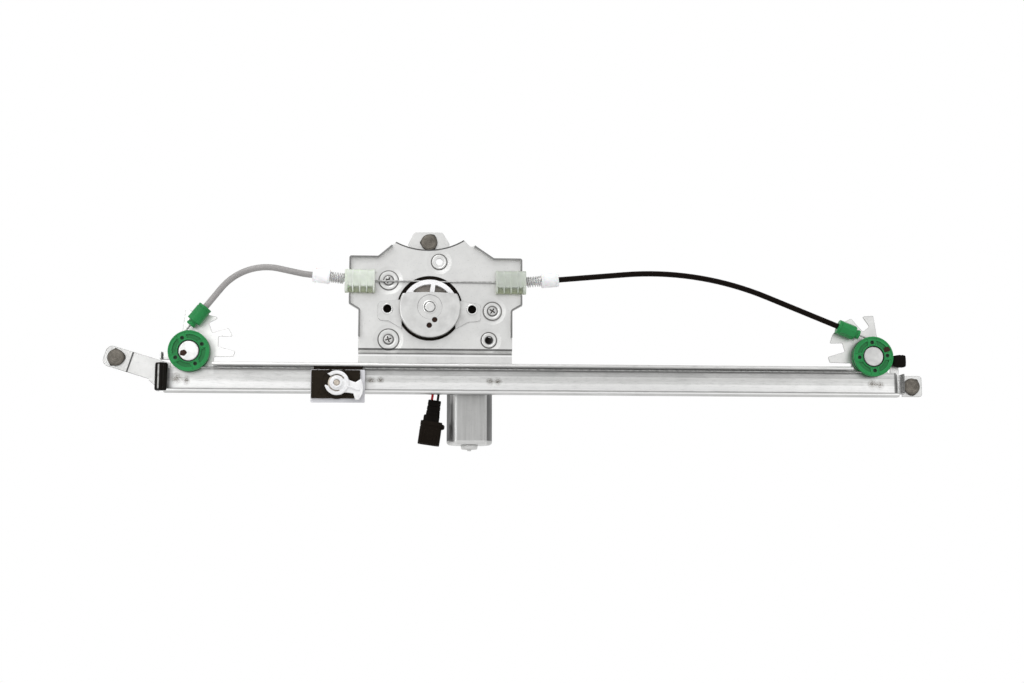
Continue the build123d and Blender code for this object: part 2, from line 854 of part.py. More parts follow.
# Gear housing: drum cup, wheel case, worm tunnel, brush section and lugs.
cup_floor = drum_back - 0.5
case_front = plate_back - 3.1
cavity_front = -wheel_front + 1.0
brush_top = -86.0
tunnel_top = -41.0
outlet_low = -110.0
wire_r = 1.1


def double_d(width, depth):
    """Round section with two flats, centred on the motor axis."""
    with Locations((motor_x, motor_y)):
        Circle(width / 2)
        Rectangle(width + 1, depth, mode=Mode.INTERSECT)


with BuildPart() as gear_housing:
    with BuildSketch(front(-case_end)):
        with Locations((drum_x, drum_z)):
            Circle(case_r)
    extrude(amount=case_end + case_front)
    with BuildSketch(front(-1.0)):
        with Locations(*rivet_places):
            Circle(6.0)
    extrude(amount=case_front + 1.0)
    with BuildSketch(front(case_front)):
        with Locations((drum_x, drum_z)):
            Circle(drum_rim + 3.8)
    extrude(amount=plate_back + 0.9 - case_front)
    with BuildSketch(front(cup_floor)):
        with Locations((drum_x, drum_z)):
            Circle(drum_rim + 0.8)
    extrude(amount=10, mode=Mode.SUBTRACT)
    # Screw lugs and their ribs.
    with BuildSketch(front(-6.0)):
        for x, z in screw_places:
            with BuildLine():
                Line((drum_x, drum_z), (x, z))
            trace(line_width=9.0)
    extrude(amount=6.0 + case_front)
    with BuildSketch(front(-6.0)):
        with Locations(*screw_places):
            Circle(6.4)
    extrude(amount=6.0 + plate_back)
    with BuildSketch(front(-2.0)):
        with Locations(*screw_places):
            Circle(2.5)
    extrude(amount=20, mode=Mode.SUBTRACT)
    # Worm tunnel and brush section.
    with BuildSketch(Plane.XY.offset(brush_top - 2.0)):
        with Locations((motor_x, motor_y)):
            Rectangle(20.0, 20.0)
    extrude(amount=50.0)
    with BuildSketch(Plane.XY.offset(can_top)):
        double_d(can_width + 1.0, can_depth + 1.0)
    extrude(amount=brush_top - can_top)
    # Wire outlet beside the brush section.
    with BuildSketch(Plane.XY.offset(outlet_low)):
        with Locations((9.5, 8.0)):
            Rectangle(17.0, 13.0)
    extrude(amount=15.0)
    with BuildSketch(Plane.XY.offset(outlet_low)):
        with Locations((6.8, 8.0), (12.0, 8.0)):
            Circle(wire_r + 0.25)
    extrude(amount=4.0, mode=Mode.SUBTRACT)
    # Hollows.
    with BuildSketch(front(-case_end)):
        with Locations((drum_x, drum_z)):
            Circle(wheel_tip + wheel_room)
    extrude(amount=case_end + cavity_front, mode=Mode.SUBTRACT)
    with BuildSketch(Plane.XY.offset(brush_top - 1.0)):
        with Locations((motor_x, motor_y)):
            Circle(8.0)
    extrude(amount=tunnel_top - brush_top + 1.0, mode=Mode.SUBTRACT)
    with BuildSketch(Plane.XY.offset(can_top)):
        double_d(can_width - 3.0, can_depth - 3.0)
    extrude(amount=28.0, mode=Mode.SUBTRACT)
    with BuildSketch(Plane.XY.offset(can_top)):
        with Locations((motor_x, motor_y)):
            Circle(3.0)
    extrude(amount=40.0, mode=Mode.SUBTRACT)
    with BuildSketch(front(-case_end)):
        with Locations((drum_x, drum_z)):
            Circle(shaft_r + running)
    extrude(amount=40, mode=Mode.SUBTRACT)
save(gear_housing, "gear_housing")


# Lid on the back of the wheel case.
with BuildPart() as gear_cover:
    with BuildSketch(front(-case_end - 2.0)):
        with Locations((drum_x, drum_z)):
            Circle(case_r)
        # Clear of the worm tunnel and of the brush section.
        with Locations((motor_x, drum_z)):
            Rectangle(20.6, 80, mode=Mode.SUBTRACT)
        with Locations((motor_x, brush_top + 0.3)):
            Rectangle(can_width + 1.6, 20, align=(Align.CENTER, Align.MAX), mode=Mode.SUBTRACT)
    extrude(amount=2.0)
    with BuildSketch(front(-case_end - 3.5)):
        with Locations((drum_x, drum_z)):
            Circle(9.0)
    extrude(amount=1.5)
save(gear_cover, "gear_cover")


# Motor can: drawn steel with two flats, end boss and nub.
with BuildPart() as motor_can:
    with BuildSketch(Plane.XY.offset(can_bottom)):
        double_d(can_width, can_depth)
    extrude(amount=can_top - can_bottom)
    fillet(motor_can.faces().sort_by(Axis.Z)[0].edges(), radius=2.6)
    with BuildSketch(Plane.XY.offset(can_bottom - 3.6)):
        with Locations((motor_x, motor_y)):
            Circle(7.1)
    extrude(amount=4.5)
    with BuildSketch(Plane.XY.offset(can_bottom - 5.4)):
        with Locations((motor_x, motor_y)):
            Circle(1.8)
    extrude(amount=2.0)
    with BuildSketch(Plane.XY.offset(can_bottom + 1.6)):
        double_d(can_width - 3.2, can_depth - 3.2)
    extrude(amount=can_top - can_bottom, mode=Mode.SUBTRACT)
    with BuildSketch(Plane.XY.offset(can_bottom - 2.2)):
        with Locations((motor_x, motor_y)):
            Circle(5.6)
    extrude(amount=6.0, mode=Mode.SUBTRACT)
save(motor_can, "motor_can")


# Two curved magnets inside the can's round sides.
armature_r = can_depth / 2 - 2.6
with BuildPart() as magnets:
    with BuildSketch(Plane.XY.offset(can_bottom + 12.0)):
        with Locations((motor_x, motor_y)):
            Circle(can_width / 2 - 1.6)
            Circle(armature_r + 0.8, mode=Mode.SUBTRACT)
            Rectangle(can_width, 20.0, mode=Mode.INTERSECT)
    extrude(amount=44.0)
save(magnets, "magnets")


# Motor shaft with its worm core, armature stack with slots, and commutator.
motor_shaft_r = 2.5
with BuildPart() as motor_shaft:
    for radius, low, high in (
        (motor_shaft_r, can_bottom - 1.6, tunnel_top - 0.3),
        (worm_distance - wheel_tip - 0.6, -80.0, tunnel_top - 4.2),
    ):
        with BuildSketch(Plane.XY.offset(low)):
            with Locations((motor_x, motor_y)):
                Circle(radius)
        extrude(amount=high - low)
save(motor_shaft, "motor_shaft")

with BuildPart() as armature:
    with BuildSketch(Plane.XY.offset(can_bottom + 14.0)):
        with Locations((motor_x, motor_y)):
            Circle(armature_r)
            with PolarLocations(armature_r - 1.5, 8):
                Rectangle(6.0, 2.4, mode=Mode.SUBTRACT)
            Circle(motor_shaft_r, mode=Mode.SUBTRACT)
    extrude(amount=40.0)
save(armature, "armature")

commutator_r = 7.0
with BuildPart() as commutator:
    with BuildSketch(Plane.XY.offset(can_top + 5.0)):
        with Locations((motor_x, motor_y)):
            Circle(commutator_r)
            Circle(motor_shaft_r, mode=Mode.SUBTRACT)
    extrude(amount=12.0)
save(commutator, "commutator")

# Brush card: a disc in the brush section with two brush holders.
card_low = can_top + 0.6
card_sheet = 2.0
holder_in = commutator_r + 0.4
holder_out = can_width / 2 - 3.1
with BuildPart() as brush_card:
    with BuildSketch(Plane.XY.offset(card_low)):
        double_d(can_width - 3.0, can_depth - 3.0)
        with Locations((motor_x, motor_y)):
            Circle(8.4, mode=Mode.SUBTRACT)
    extrude(amount=card_sheet)
    with BuildSketch(Plane.XY.offset(card_low + card_sheet)):
        with Locations((motor_x, motor_y)):
            Rectangle(2 * holder_out, 7.0)
            Rectangle(2 * holder_in, 7.0, mode=Mode.SUBTRACT)
    extrude(amount=10.0)
save(brush_card, "brush_card")

for node, low, outer in (("lower_bearing", can_bottom - 2.2, 5.6), ("upper_bearing", tunnel_top - 3.8, 8.0)):
    with BuildPart() as bearing:
        with BuildSketch(Plane.XY.offset(low + 0.2)):
            with Locations((motor_x, motor_y)):
                Circle(outer)
                Circle(motor_shaft_r + running, mode=Mode.SUBTRACT)
        extrude(amount=3.6)
    save(bearing, node)


# Pigtail: two wires from the outlet, a rubber boot and the plug housing.
boot_plane = Plane(origin=(6.3, 5.0, -143.5), x_dir=(0.9903, 0, -0.1392), z_dir=(-0.1392, 0, -0.9903))
wires = {
    "red_wire": ((6.8, 8.0, outlet_low + 3.0), (6.4, 7.2, -126.0), (3.2, 5.0, -146.0)),
    "black_wire": ((12.0, 8.0, outlet_low + 3.0), (11.6, 7.2, -126.0), (8.4, 5.0, -146.6)),
}
for node, route in wires.items():
    with BuildPart() as wire:
        with BuildLine() as path:
            FilletPolyline(*route, radius=60.0)
        with BuildSketch(Plane(origin=path.line @ 0, z_dir=path.line % 0)):
            Circle(wire_r)
        sweep(path=path.line)
    save(wire, node)

boot_length = 19.3
with BuildPart() as wire_boot:
    with BuildSketch(boot_plane):
        RectangleRounded(11.6, 8.6, 2.4)
    with BuildSketch(boot_plane.offset(14.0)):
        RectangleRounded(12.6, 9.4, 2.4)
    loft()
    with BuildSketch(boot_plane.offset(14.0)):
        with Locations((-0.7, 0)):
            RectangleRounded(14.4, 10.6, 2.4)
    extrude(amount=boot_length - 14.0)
    # Holes for the two wires.
    with BuildSketch(boot_plane.offset(-2.0)):
        with Locations((-2.7, 0), (2.6, 0)):
            Circle(wire_r + 0.4)
    extrude(amount=6.0, mode=Mode.SUBTRACT)
save(wire_boot, "wire_boot")

with BuildPart() as connector:
    with BuildSketch(boot_plane.offset(boot_length)):
        RectangleRounded(19.6, 14.0, 2.6)
    extrude(amount=21.0)
    with BuildSketch(boot_plane.offset(boot_length + 4.0)):
        RectangleRounded(21.0, 15.4, 2.6)
        RectangleRounded(18.8, 13.2, 2.4, mode=Mode.SUBTRACT)
    extrude(amount=1.4, mode=Mode.SUBTRACT)
    with BuildSketch(boot_plane.offset(boot_length + 1.2)):
        with Locations((12.0, 0)):
            RectangleRounded(5.6, 5.0, 1.4)
    extrude(amount=5.0)
    with BuildSketch(boot_plane.offset(boot_length + 9.0)):
        RectangleRounded(15.6, 10.0, 1.6)
    extrude(amount=20, mode=Mode.SUBTRACT)
    with BuildSketch(boot_plane.offset(boot_length + 5.0)):
        with Locations((-3.4, 0), (3.4, 0)):
            Rectangle(2.6, 0.8)
    extrude(amount=8.0)
save(connector, "connector")


# Carriage: shoe inside the rail, plate in front, rubber pad, pin and glass clip.
shoe_left = carriage_x - 21.6
shoe_right = carriage_x + 21.6
shoe_mid = (shoe_left + shoe_right) / 2
inner_top = rail_top - rail_sheet - gap
inner_bottom = rail_bottom + rail_sheet + gap
with BuildPart() as carriage_shoe:
    with BuildSketch(Plane.YZ.offset(shoe_left)):
        with Locations((-(lip_back - gap), inner_bottom)):
            Rectangle(
                lip_back - gap - web_front - gap, inner_top - inner_bottom,
                align=(Align.MIN, Align.MIN),
            )
        with Locations((-base_back, rail_bottom + lip + gap)):
            Rectangle(
                base_back - lip_back + gap, rail_height - 2 * lip - 2 * gap,
                align=(Align.MIN, Align.MIN),
            )
        # Slot for the cable, open at the top.
        with Locations((-cable_y, cable_z - cable_r - gap)):
            Rectangle(2 * (cable_r + gap), 20, align=(Align.CENTER, Align.MIN), mode=Mode.SUBTRACT)
    extrude(amount=shoe_right - shoe_left)
    # Pocket for the cable nipple.
    with BuildSketch(Plane.YZ.offset(shoe_mid - 7.0)):
        with Locations((-cable_y, cable_z - 2.6)):
            Rectangle(5.2, 20, align=(Align.CENTER, Align.MIN))
    extrude(amount=14.0, mode=Mode.SUBTRACT)
save(carriage_shoe, "carriage_shoe")

with BuildPart() as cable_nipple:
    with BuildSketch(Plane.YZ.offset(shoe_mid - 6.8)):
        with Locations((-cable_y, cable_z)):
            Circle(2.4)
            Circle(cable_r + gap, mode=Mode.SUBTRACT)
    extrude(amount=13.6)
save(cable_nipple, "cable_nipple")

base_top = rail_top - 7.0
with BuildPart() as carriage_base:
    with BuildSketch(front(base_back)):
        with Locations((carriage_x, (base_top + carriage_low) / 2)):
            RectangleRounded(carriage_width, base_top - carriage_low, 1.0)
    extrude(amount=base_front - base_back)
save(carriage_base, "carriage_base")

pad_right = carriage_x + carriage_width / 2 - 4.2
pad_left = carriage_x - carriage_width / 2 + 0.6
pad_low = carriage_low + 3.4
pad_top = base_top - 0.5
with BuildPart() as carriage_pad:
    with BuildSketch(front(base_front)):
        with Locations(((pad_left + pad_right) / 2, (pad_low + pad_top) / 2)):
            RectangleRounded(pad_right - pad_left, pad_top - pad_low, 0.8)
        with Locations((clip_x, clip_z)):
            Circle(4.8, mode=Mode.SUBTRACT)
    extrude(amount=pad_depth)
save(carriage_pad, "carriage_pad")

pin_r = 2.8
collar = 1.4
with BuildPart() as carriage_pin:
    with BuildSketch(front(base_front)):
        with Locations((clip_x, clip_z)):
            Circle(4.8)
    extrude(amount=pad_depth)
    with BuildSketch(front(pad_front)):
        with Locations((clip_x, clip_z)):
            Circle(8.1)
    extrude(amount=collar)
    with BuildSketch(front(pad_front)):
        with Locations((clip_x, clip_z)):
            Circle(pin_r)
    extrude(amount=collar + gap + 5.2)
save(carriage_pin, "carriage_pin")

clip_start = pad_front + collar + gap
with BuildPart() as glass_clip:
    with BuildSketch(front(clip_start)):
        with Locations((clip_x, clip_z)):
            Circle(6.5)
            Circle(pin_r + running, mode=Mode.SUBTRACT)
    extrude(amount=5.6)
    with BuildSketch(front(clip_start)):
        with Locations((clip_x, clip_z)):
            Circle(10.8)
            Circle(7.9, mode=Mode.SUBTRACT)
            Polygon((0, 0), (-9.4, 13.0), (-20, 6), (-15.5, -4.2), align=None, mode=Mode.SUBTRACT)
            Rectangle(6.0, 12.0, rotation=-18, align=(Align.MIN, Align.CENTER))
            Circle(6.4, mode=Mode.SUBTRACT)
    extrude(amount=4.4)
    with BuildSketch(front(clip_start)):
        with BuildLine():
            Polyline(
                (clip_x + 10.0, clip_z + 2.6), (clip_x + 16.3, clip_z), (clip_x + 21.3, clip_z + 2.6)
            )
            ThreePointArc(
                (clip_x + 21.3, clip_z + 2.6), (clip_x + 22.6, clip_z - 7.4),
                (clip_x + 15.8, clip_z - 14.5),
            )
            Polyline(
                (clip_x + 15.8, clip_z - 14.5), (clip_x + 14.2, clip_z - 9.1),
                (clip_x + 8.0, clip_z - 6.6), (clip_x + 8.0, clip_z + 1.0),
                (clip_x + 10.0, clip_z + 2.6),
            )
        make_face()
    extrude(amount=3.4)
    with BuildSketch(front(clip_start)):
        with Locations((clip_x, clip_z)):
            with PolarLocations(14.5, 1, start_angle=-19.7):
                Rectangle(14.0, 1.6)
    extrude(amount=4.6)
save(glass_clip, "glass_clip")
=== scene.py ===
"""Looks of a cable window regulator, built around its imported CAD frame.

Shapes are worked out in millimetres in the frame's own axes: X runs along the
guide rail, Z is up, and the viewer stands on the -Y side.
"""
import math

import bmesh
import bpy
import numpy as np
from bpy.props import FloatProperty, FloatVectorProperty, IntProperty, PointerProperty
from mathutils import Matrix, Vector


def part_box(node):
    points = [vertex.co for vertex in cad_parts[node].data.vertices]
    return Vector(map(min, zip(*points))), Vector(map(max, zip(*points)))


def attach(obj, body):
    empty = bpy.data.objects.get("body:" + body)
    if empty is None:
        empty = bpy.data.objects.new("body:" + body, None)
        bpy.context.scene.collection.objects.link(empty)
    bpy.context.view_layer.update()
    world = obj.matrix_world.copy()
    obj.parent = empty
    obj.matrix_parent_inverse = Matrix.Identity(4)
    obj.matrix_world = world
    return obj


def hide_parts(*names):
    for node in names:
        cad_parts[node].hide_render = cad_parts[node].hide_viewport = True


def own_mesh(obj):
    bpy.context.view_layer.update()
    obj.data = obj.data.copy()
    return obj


bl_info = {
    "name": "Window Regulator Looks",
    "version": (1, 0, 0),
    "blender": (4, 5, 0),
    "location": "View3D > Sidebar > Regulator",
    "description": "Dresses the CAD frame of a cable window regulator",
    "category": "Object",
}

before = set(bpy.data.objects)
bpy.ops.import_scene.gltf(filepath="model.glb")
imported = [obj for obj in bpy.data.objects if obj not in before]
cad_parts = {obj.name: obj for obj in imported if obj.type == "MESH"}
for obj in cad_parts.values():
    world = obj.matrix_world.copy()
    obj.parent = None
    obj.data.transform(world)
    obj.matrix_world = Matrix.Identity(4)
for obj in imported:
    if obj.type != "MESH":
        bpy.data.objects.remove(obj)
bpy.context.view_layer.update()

# Axes of the frame, used to stand pieces up.
RIGHT, AWAY, UP = np.eye(3)
VIEWER = -AWAY


def node_box(node):
    """Lowest and highest corner of a CAD node at rest, in millimetres."""
    low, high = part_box(node)
    return np.array(low) * 1000, np.array(high) * 1000


def node_centre(node):
    low, high = node_box(node)
    return (low + high) / 2


# Places that the frame gives.
DRUM_AXIS = node_centre("cable_drum")
PULLEYS = {"left": node_centre("left_pulley"), "right": node_centre("right_pulley")}
MOTOR_AXIS = node_centre("motor_can")
CLIP_CENTRE = np.array([-80.1, node_box("carriage_pin")[1][1], -131.2])
STUDS = ("upper_stud", "left_stud", "right_stud")

# Sizes and places of the mechanism, in millimetres; pairs are (x, z).
PLATE_FRONT = -8.0
CABLE_DEPTH = -10.0
CABLE_HEIGHT = -116.6
DRUM_PITCH = 24.0
DRUM_TOP = DRUM_AXIS[2] + DRUM_PITCH
PULLEY_PITCH = 14.1
PULLEY_TURN = {"left": 28.0, "right": 4.0}  # angle of each pulley's first hole, in degrees
SCREW_PLACES = ((-36.1, -36.5), (-35.7, -90.1), (57.3, -63.7))
SCREW_RINGS = (8.4, 9.1, 7.9)
DISH_RADII = (*SCREW_RINGS, 6.8, 6.8)
BUSH_PLACES = ((9.2, -19.1), (54.2, -90.2))
RIVET_PLACES = ((-37.0, -62.5), (39.0, -62.5))
COVER_HOLES = ((5.4, -73.1), (0.6, -78.2))
# Grainy marks of spot welds on the rail: (x, z, half length, half height).
WELD_SMUDGES = (
    (-222.5, -126.4, 6.5, 5.6), (-213.6, -128.0, 3.4, 4.6),
    (-51.0, -126.8, 5.0, 3.4), (-42.5, -126.4, 3.6, 3.2),
    (55.6, -127.0, 4.0, 3.8), (62.6, -127.0, 4.0, 3.8),
    (405.0, -127.2, 5.0, 5.0), (411.5, -128.0, 4.6, 4.4),
)

# Colours of painted shadow in holes, painted shade on walls and round dishes, and of weld marks.
HOLE_SHADOW = (0.008, 0.008, 0.007)
WALL_SHADE = (0.05, 0.042, 0.035)
DISH_SHADE = (0.05, 0.046, 0.042)
WELD_BROWN = (0.10, 0.085, 0.065)

# Boxes of painted light and shade on the sheet, where the tone changes: (low corner, high corner,
# share, factor).
PLATE_SHADING = (
    # Fold edges darkened to near black, painted shade on the two bends of the lower joggle, and a
    # band of painted light below them.
    ((None, -13.0, None), (None, -12.3, None), 1.0, 0.07),
    ((None, -9.0, -99.6), (None, 0.0, -98.1), 0.95, 0.08),
    ((None, -9.0, -103.0), (None, 0.0, -101.8), 0.75, 0.1),
    ((None, -9.0, -104.6), (None, 0.0, -103.4), 0.6, 1.5),
)
RAIL_SHADING = (
    # Painted shadow in the channel under the upper lip, a line of painted shade below it, and the
    # web's fall of light painted in: darker, lighter, then a painted shadow above the lower lip.
    ((-190.0, -6.5, -118.6), (-60.0, -3.0, -111.0), 0.3, 0.2),
    ((-60.0, -6.5, -118.6), (999.0, -3.0, -111.0), 0.5, 0.18),
    ((-190.0, -6.5, -122.3), (-60.0, -3.0, -118.8), 0.3, 0.5),
    ((-60.0, -6.5, -122.3), (999.0, -3.0, -118.8), 0.6, 0.35),
    ((None, -6.5, -126.0), (None, -3.0, -122.3), 0.25, 0.6),
    ((None, -6.5, -134.4), (None, -3.0, -128.5), 0.35, 1.5),
    ((None, -6.5, -136.0), (None, -3.0, -134.6), 0.7, 0.2),
    # Lower lip: a line of painted shadow along its top edge, painted light on its face, painted
    # shade on its underside and under the rail.
    ((None, -14.5, -136.6), (None, -12.0, -135.5), 0.7, 0.2),
    ((None, -14.5, -137.8), (None, -13.0, -136.9), 0.6, 1.5),
    ((None, -14.5, -139.3), (None, -13.0, -137.9), 0.55, 0.6),
    ((None, -13.2, -140.0), (None, -3.0, -139.0), 0.7, 0.5),
    # Right end: painted shadow on the web in place of a gap before the bracket.
    ((425.4, -6.5, -135.0), (428.0, -3.0, -111.0), 0.93, 0.1),
    # Upper lip: shaded lower half.
    ((None, -14.5, -115.6), (None, -12.0, -114.2), 0.75, 0.25),
)
# Painted shade on the fold of the lug beside the left pulley.
LUG_SHADING = (((-235.7, None, -110.0), (-234.3, None, -102.0), 0.85, 0.06),)
# The right tab: painted shadow behind the rail's end, and painted light and shade on the bend
# beside the stud.
TAB_SHADING = (
    ((426.0, -6.5, -141.0), (429.1, 2.0, -117.5), 0.93, 0.12),
    ((429.4, -6.5, -141.0), (430.4, 2.0, -117.5), 0.9, 1.5),
    ((430.0, -20.0, -141.0), (432.4, -12.8, -112.0), 0.92, 0.08),
)
# Line of painted shade across the left arm, where it steps: (direction, point, low corner, high
# corner).
ARM_CREASE = (
    (0.956, 0.0, -0.292), (-264.2, 0.0, -112.4), (-274.0, None, None), (-254.0, None, None),
)
# Line of painted shadow along the plate's top, where it lies over the tab: (x, z, radius, low
# corner, high corner).
PLATE_TOP = (-1.2, 54.0, 62.2, (-31.0, -9.0, -12.0), (33.0, -6.2, 3.0))


# Sizes and colours that a user would change.
def colour(name, description, rgb):
    return FloatVectorProperty(
        name=name, description=description, default=rgb, subtype="COLOR", size=3, min=0, max=1
    )


class RegulatorColours(bpy.types.PropertyGroup):
    """Base colours of the finishes"""

    zinc: colour("Zinc", "Plated sheet of the rail, plate and brackets", (0.70, 0.70, 0.69))
    stud: colour("Stud", "Bare weld studs", (0.15, 0.137, 0.117))
    green: colour("Green", "Pulleys and ferrules", (0.010, 0.245, 0.058))
    white: colour("White", "Clip, drum and sleeves", (0.87, 0.87, 0.88))
    holder: colour("Holder", "Cable holders", (0.72, 0.77, 0.69))
    black: colour("Black", "Housing and plug", (0.008, 0.0055, 0.0035))
    rubber: colour("Rubber", "Pad, buffers and boot", (0.004, 0.003, 0.002))
    grey_conduit: colour("Grey conduit", "Left conduit", (0.28, 0.27, 0.265))
    red_wire: colour("Red wire", "Insulation of the supply wire", (0.55, 0.008, 0.015))


class RegulatorSizes(bpy.types.PropertyGroup):
    """Sizes of the fine detail, and the camera"""

    spring_turns: FloatProperty(
        name="Spring turns", description="Turns of each sleeve spring", default=6.5, min=3, max=12
    )
    thread_pitch: FloatProperty(
        name="Thread pitch", description="Pitch of the stud threads in millimetres",
        default=1.0, min=0.5, max=2, subtype="DISTANCE",
    )
    cable_lay: FloatProperty(
        name="Cable lay", description="Length of one strand turn in millimetres",
        default=9.0, min=4, max=30, subtype="DISTANCE",
    )
    housing_ribs: IntProperty(
        name="Housing ribs", description="Radial ribs on the wheel case", default=12, min=4, max=24
    )
    distance: FloatProperty(
        name="Camera distance", description="Camera to plate, in metres",
        default=1.3, min=0.5, max=5, subtype="DISTANCE", unit="LENGTH",
    )
    lens: FloatProperty(
        name="Lens", description="Focal length in millimetres",
        default=50.8, min=20, max=200, subtype="DISTANCE_CAMERA", unit="CAMERA",
    )


# Mesh making. Every shape is an array of points on a grid.
def grid_faces(rows, columns, ring_rows=False, ring_columns=True):
    """Quads that join each grid point to its neighbours; a ring joins last to first."""
    row, column = np.meshgrid(
        np.arange(rows if ring_rows else rows - 1),
        np.arange(columns if ring_columns else columns - 1),
        indexing="ij",
    )
    below, beside = (row + 1) % rows, (column + 1) % columns
    corners = (
        row * columns + column, row * columns + beside,
        below * columns + beside, below * columns + column,
    )
    return np.stack(corners, -1).reshape(-1, 4).tolist()


def build(name, points, faces, body, finish, sharp=38.0):
    """Puts points (millimetres) and faces into a mesh that rides on a body."""
    mesh = bpy.data.meshes.new(name)
    mesh.from_pydata((np.asarray(points, float) * 0.001).reshape(-1, 3), [], faces)
    work = bmesh.new()
    work.from_mesh(mesh)
    bmesh.ops.remove_doubles(work, verts=work.verts, dist=2e-7)
    bmesh.ops.recalc_face_normals(work, faces=work.faces)
    work.to_mesh(mesh)
    work.free()
    mesh.shade_smooth()
    mesh.set_sharp_from_angle(angle=math.radians(sharp))
    piece = bpy.data.objects.new(name, mesh)
    bpy.context.scene.collection.objects.link(piece)
    mesh.materials.append(finish)
    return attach(piece, body)


def join(name, parts, body, finish, sharp=38.0):
    """One mesh from several (points, faces) pairs."""
    points, faces, start = [], [], 0
    for part_points, part_faces in parts:
        flat = np.asarray(part_points, float).reshape(-1, 3)
        points.append(flat)
        faces += [[start + i for i in face] for face in part_faces]
        start += len(flat)
    return build(name, np.concatenate(points), faces, body, finish, sharp)


def axes_across(axis):
    """Two unit vectors square to an axis and to each other."""
    axis = np.asarray(axis, float) / np.linalg.norm(axis)
    side = UP if abs(axis @ UP) < 0.9 else RIGHT
    first = np.cross(side, axis)
    first /= np.linalg.norm(first)
    return axis, first, np.cross(axis, first)


def eased(profile, radius):
    """A polyline whose inner corners are rounded.

    Each corner becomes a quadratic curve between the points that lie one
    radius, or at most 45 % of the shorter side, from it on either side. One
    more point close before and after the curve keeps the straight parts flat
    under smooth shading.
    """
    p = np.asarray(profile, float)
    before, corner, after = p[:-2], p[1:-1], p[2:]
    to_before, to_after = before - corner, after - corner
    length_before = np.linalg.norm(to_before, axis=1, keepdims=True)
    length_after = np.linalg.norm(to_after, axis=1, keepdims=True)
    reach = np.minimum(radius, 0.45 * np.minimum(length_before, length_after))
    toward_before = to_before / np.maximum(length_before, 1e-9)
    toward_after = to_after / np.maximum(length_after, 1e-9)
    a, b = corner + toward_before * reach, corner + toward_after * reach
    hold = np.minimum(0.5 * reach, 0.04 * np.minimum(length_before, length_after))
    t = np.linspace(0, 1, 4)[None, :, None]
    curve = (1 - t) ** 2 * a[:, None] + 2 * t * (1 - t) * corner[:, None] + t**2 * b[:, None]
    first, last = a + toward_before * hold, b + toward_after * hold
    rows = np.concatenate([first[:, None], curve, last[:, None]], 1)
    return np.concatenate([p[:1], rows.reshape(-1, p.shape[1]), p[-1:]])


def turned(centre, axis, profile, columns, ripple=None, closed=True):
    """A profile of (radius, height) pairs carried round an axis.

    A point is centre + height * axis + radius * (cos a * u + sin a * v).
    ripple, where given, changes radius and height from (radius, height, angle),
    and closed says that the profile's end joins its start.
    """
    axis, u, v = axes_across(axis)
    r, h = np.asarray(profile, float).T
    angle = np.linspace(0, 2 * math.pi, columns, endpoint=False)
    r, angle = np.meshgrid(r, angle, indexing="ij")
    h = np.broadcast_to(h[:, None], r.shape)
    if ripple:
        r, h = ripple(r, h, angle)
    points = (
        np.asarray(centre, float)
        + h[..., None] * axis
        + (r * np.cos(angle))[..., None] * u
        + (r * np.sin(angle))[..., None] * v
    )
    return points, grid_faces(len(points), columns, ring_rows=closed)


def cut_plate(outline, back, front, edge):
    """A flat plate with rounded rims, from a closed outline of (x, z) points.

    Each loop is the outline moved inwards along its corner normals by
    edge * (1 - sin a) at depth edge * (1 - cos a) from the face, for a from
    0 to 90 degrees; one loop more keeps each face flat, and the two faces
    are single polygons.
    """
    p = np.asarray(outline, float)
    turn = np.roll(p, -1, 0) - p
    area = np.sum(p[:, 0] * np.roll(p[:, 1], -1) - np.roll(p[:, 0], -1) * p[:, 1])
    normal = np.stack([turn[:, 1], -turn[:, 0]], 1) * np.sign(area)
    normal /= np.linalg.norm(normal, axis=1, keepdims=True) + 1e-12
    mitre = normal + np.roll(normal, 1, 0)
    mitre /= np.maximum(np.sum(mitre * normal, 1, keepdims=True), 0.5)
    a = np.linspace(0, math.pi / 2, 4)
    leaving, closing = edge * (1 - np.cos(a)), edge * (1 - np.sin(a))
    flat = [1.2 * edge]
    inset = np.concatenate([flat, closing, leaving, flat])
    depth = np.concatenate([[back], back - leaving, front + closing, [front]])
    loops = p[None] - mitre[None] * inset[:, None, None]
    deep = np.broadcast_to(depth[:, None], loops.shape[:2])
    points = np.stack([loops[..., 0], deep, loops[..., 1]], -1)
    rows, columns = points.shape[:2]
    faces = grid_faces(rows, columns)
    faces.append(list(range(columns)))
    faces.append(list(range((rows - 1) * columns, rows * columns)))
    return points, faces


def arc(centre, radius, start, end, count):
    """Points on an arc, with angles in degrees."""
    a = np.radians(np.linspace(start, end, count))
    return np.stack([centre[0] + radius * np.cos(a), centre[1] + radius * np.sin(a)], 1)


def helix(centre, axis, radius, start, end, turns, wire):
    """A round wire carried along a helix; its two end turns lie flat.

    Height follows start + (end - start) * smooth step of the share of turns,
    mixed with an even rise, so the coils close up at the ends.
    """
    axis, u, v = axes_across(axis)
    steps_per_turn = 28
    t = np.linspace(0, 1, int(turns * steps_per_turn))
    angle = 2 * math.pi * turns * t
    rise = 0.45 * t + 0.55 * t * t * (3 - 2 * t)
    line = (
        np.asarray(centre, float)
        + (start + (end - start) * rise)[:, None] * axis
        + radius * np.cos(angle)[:, None] * u
        + radius * np.sin(angle)[:, None] * v
    )
    return tube(line, wire)


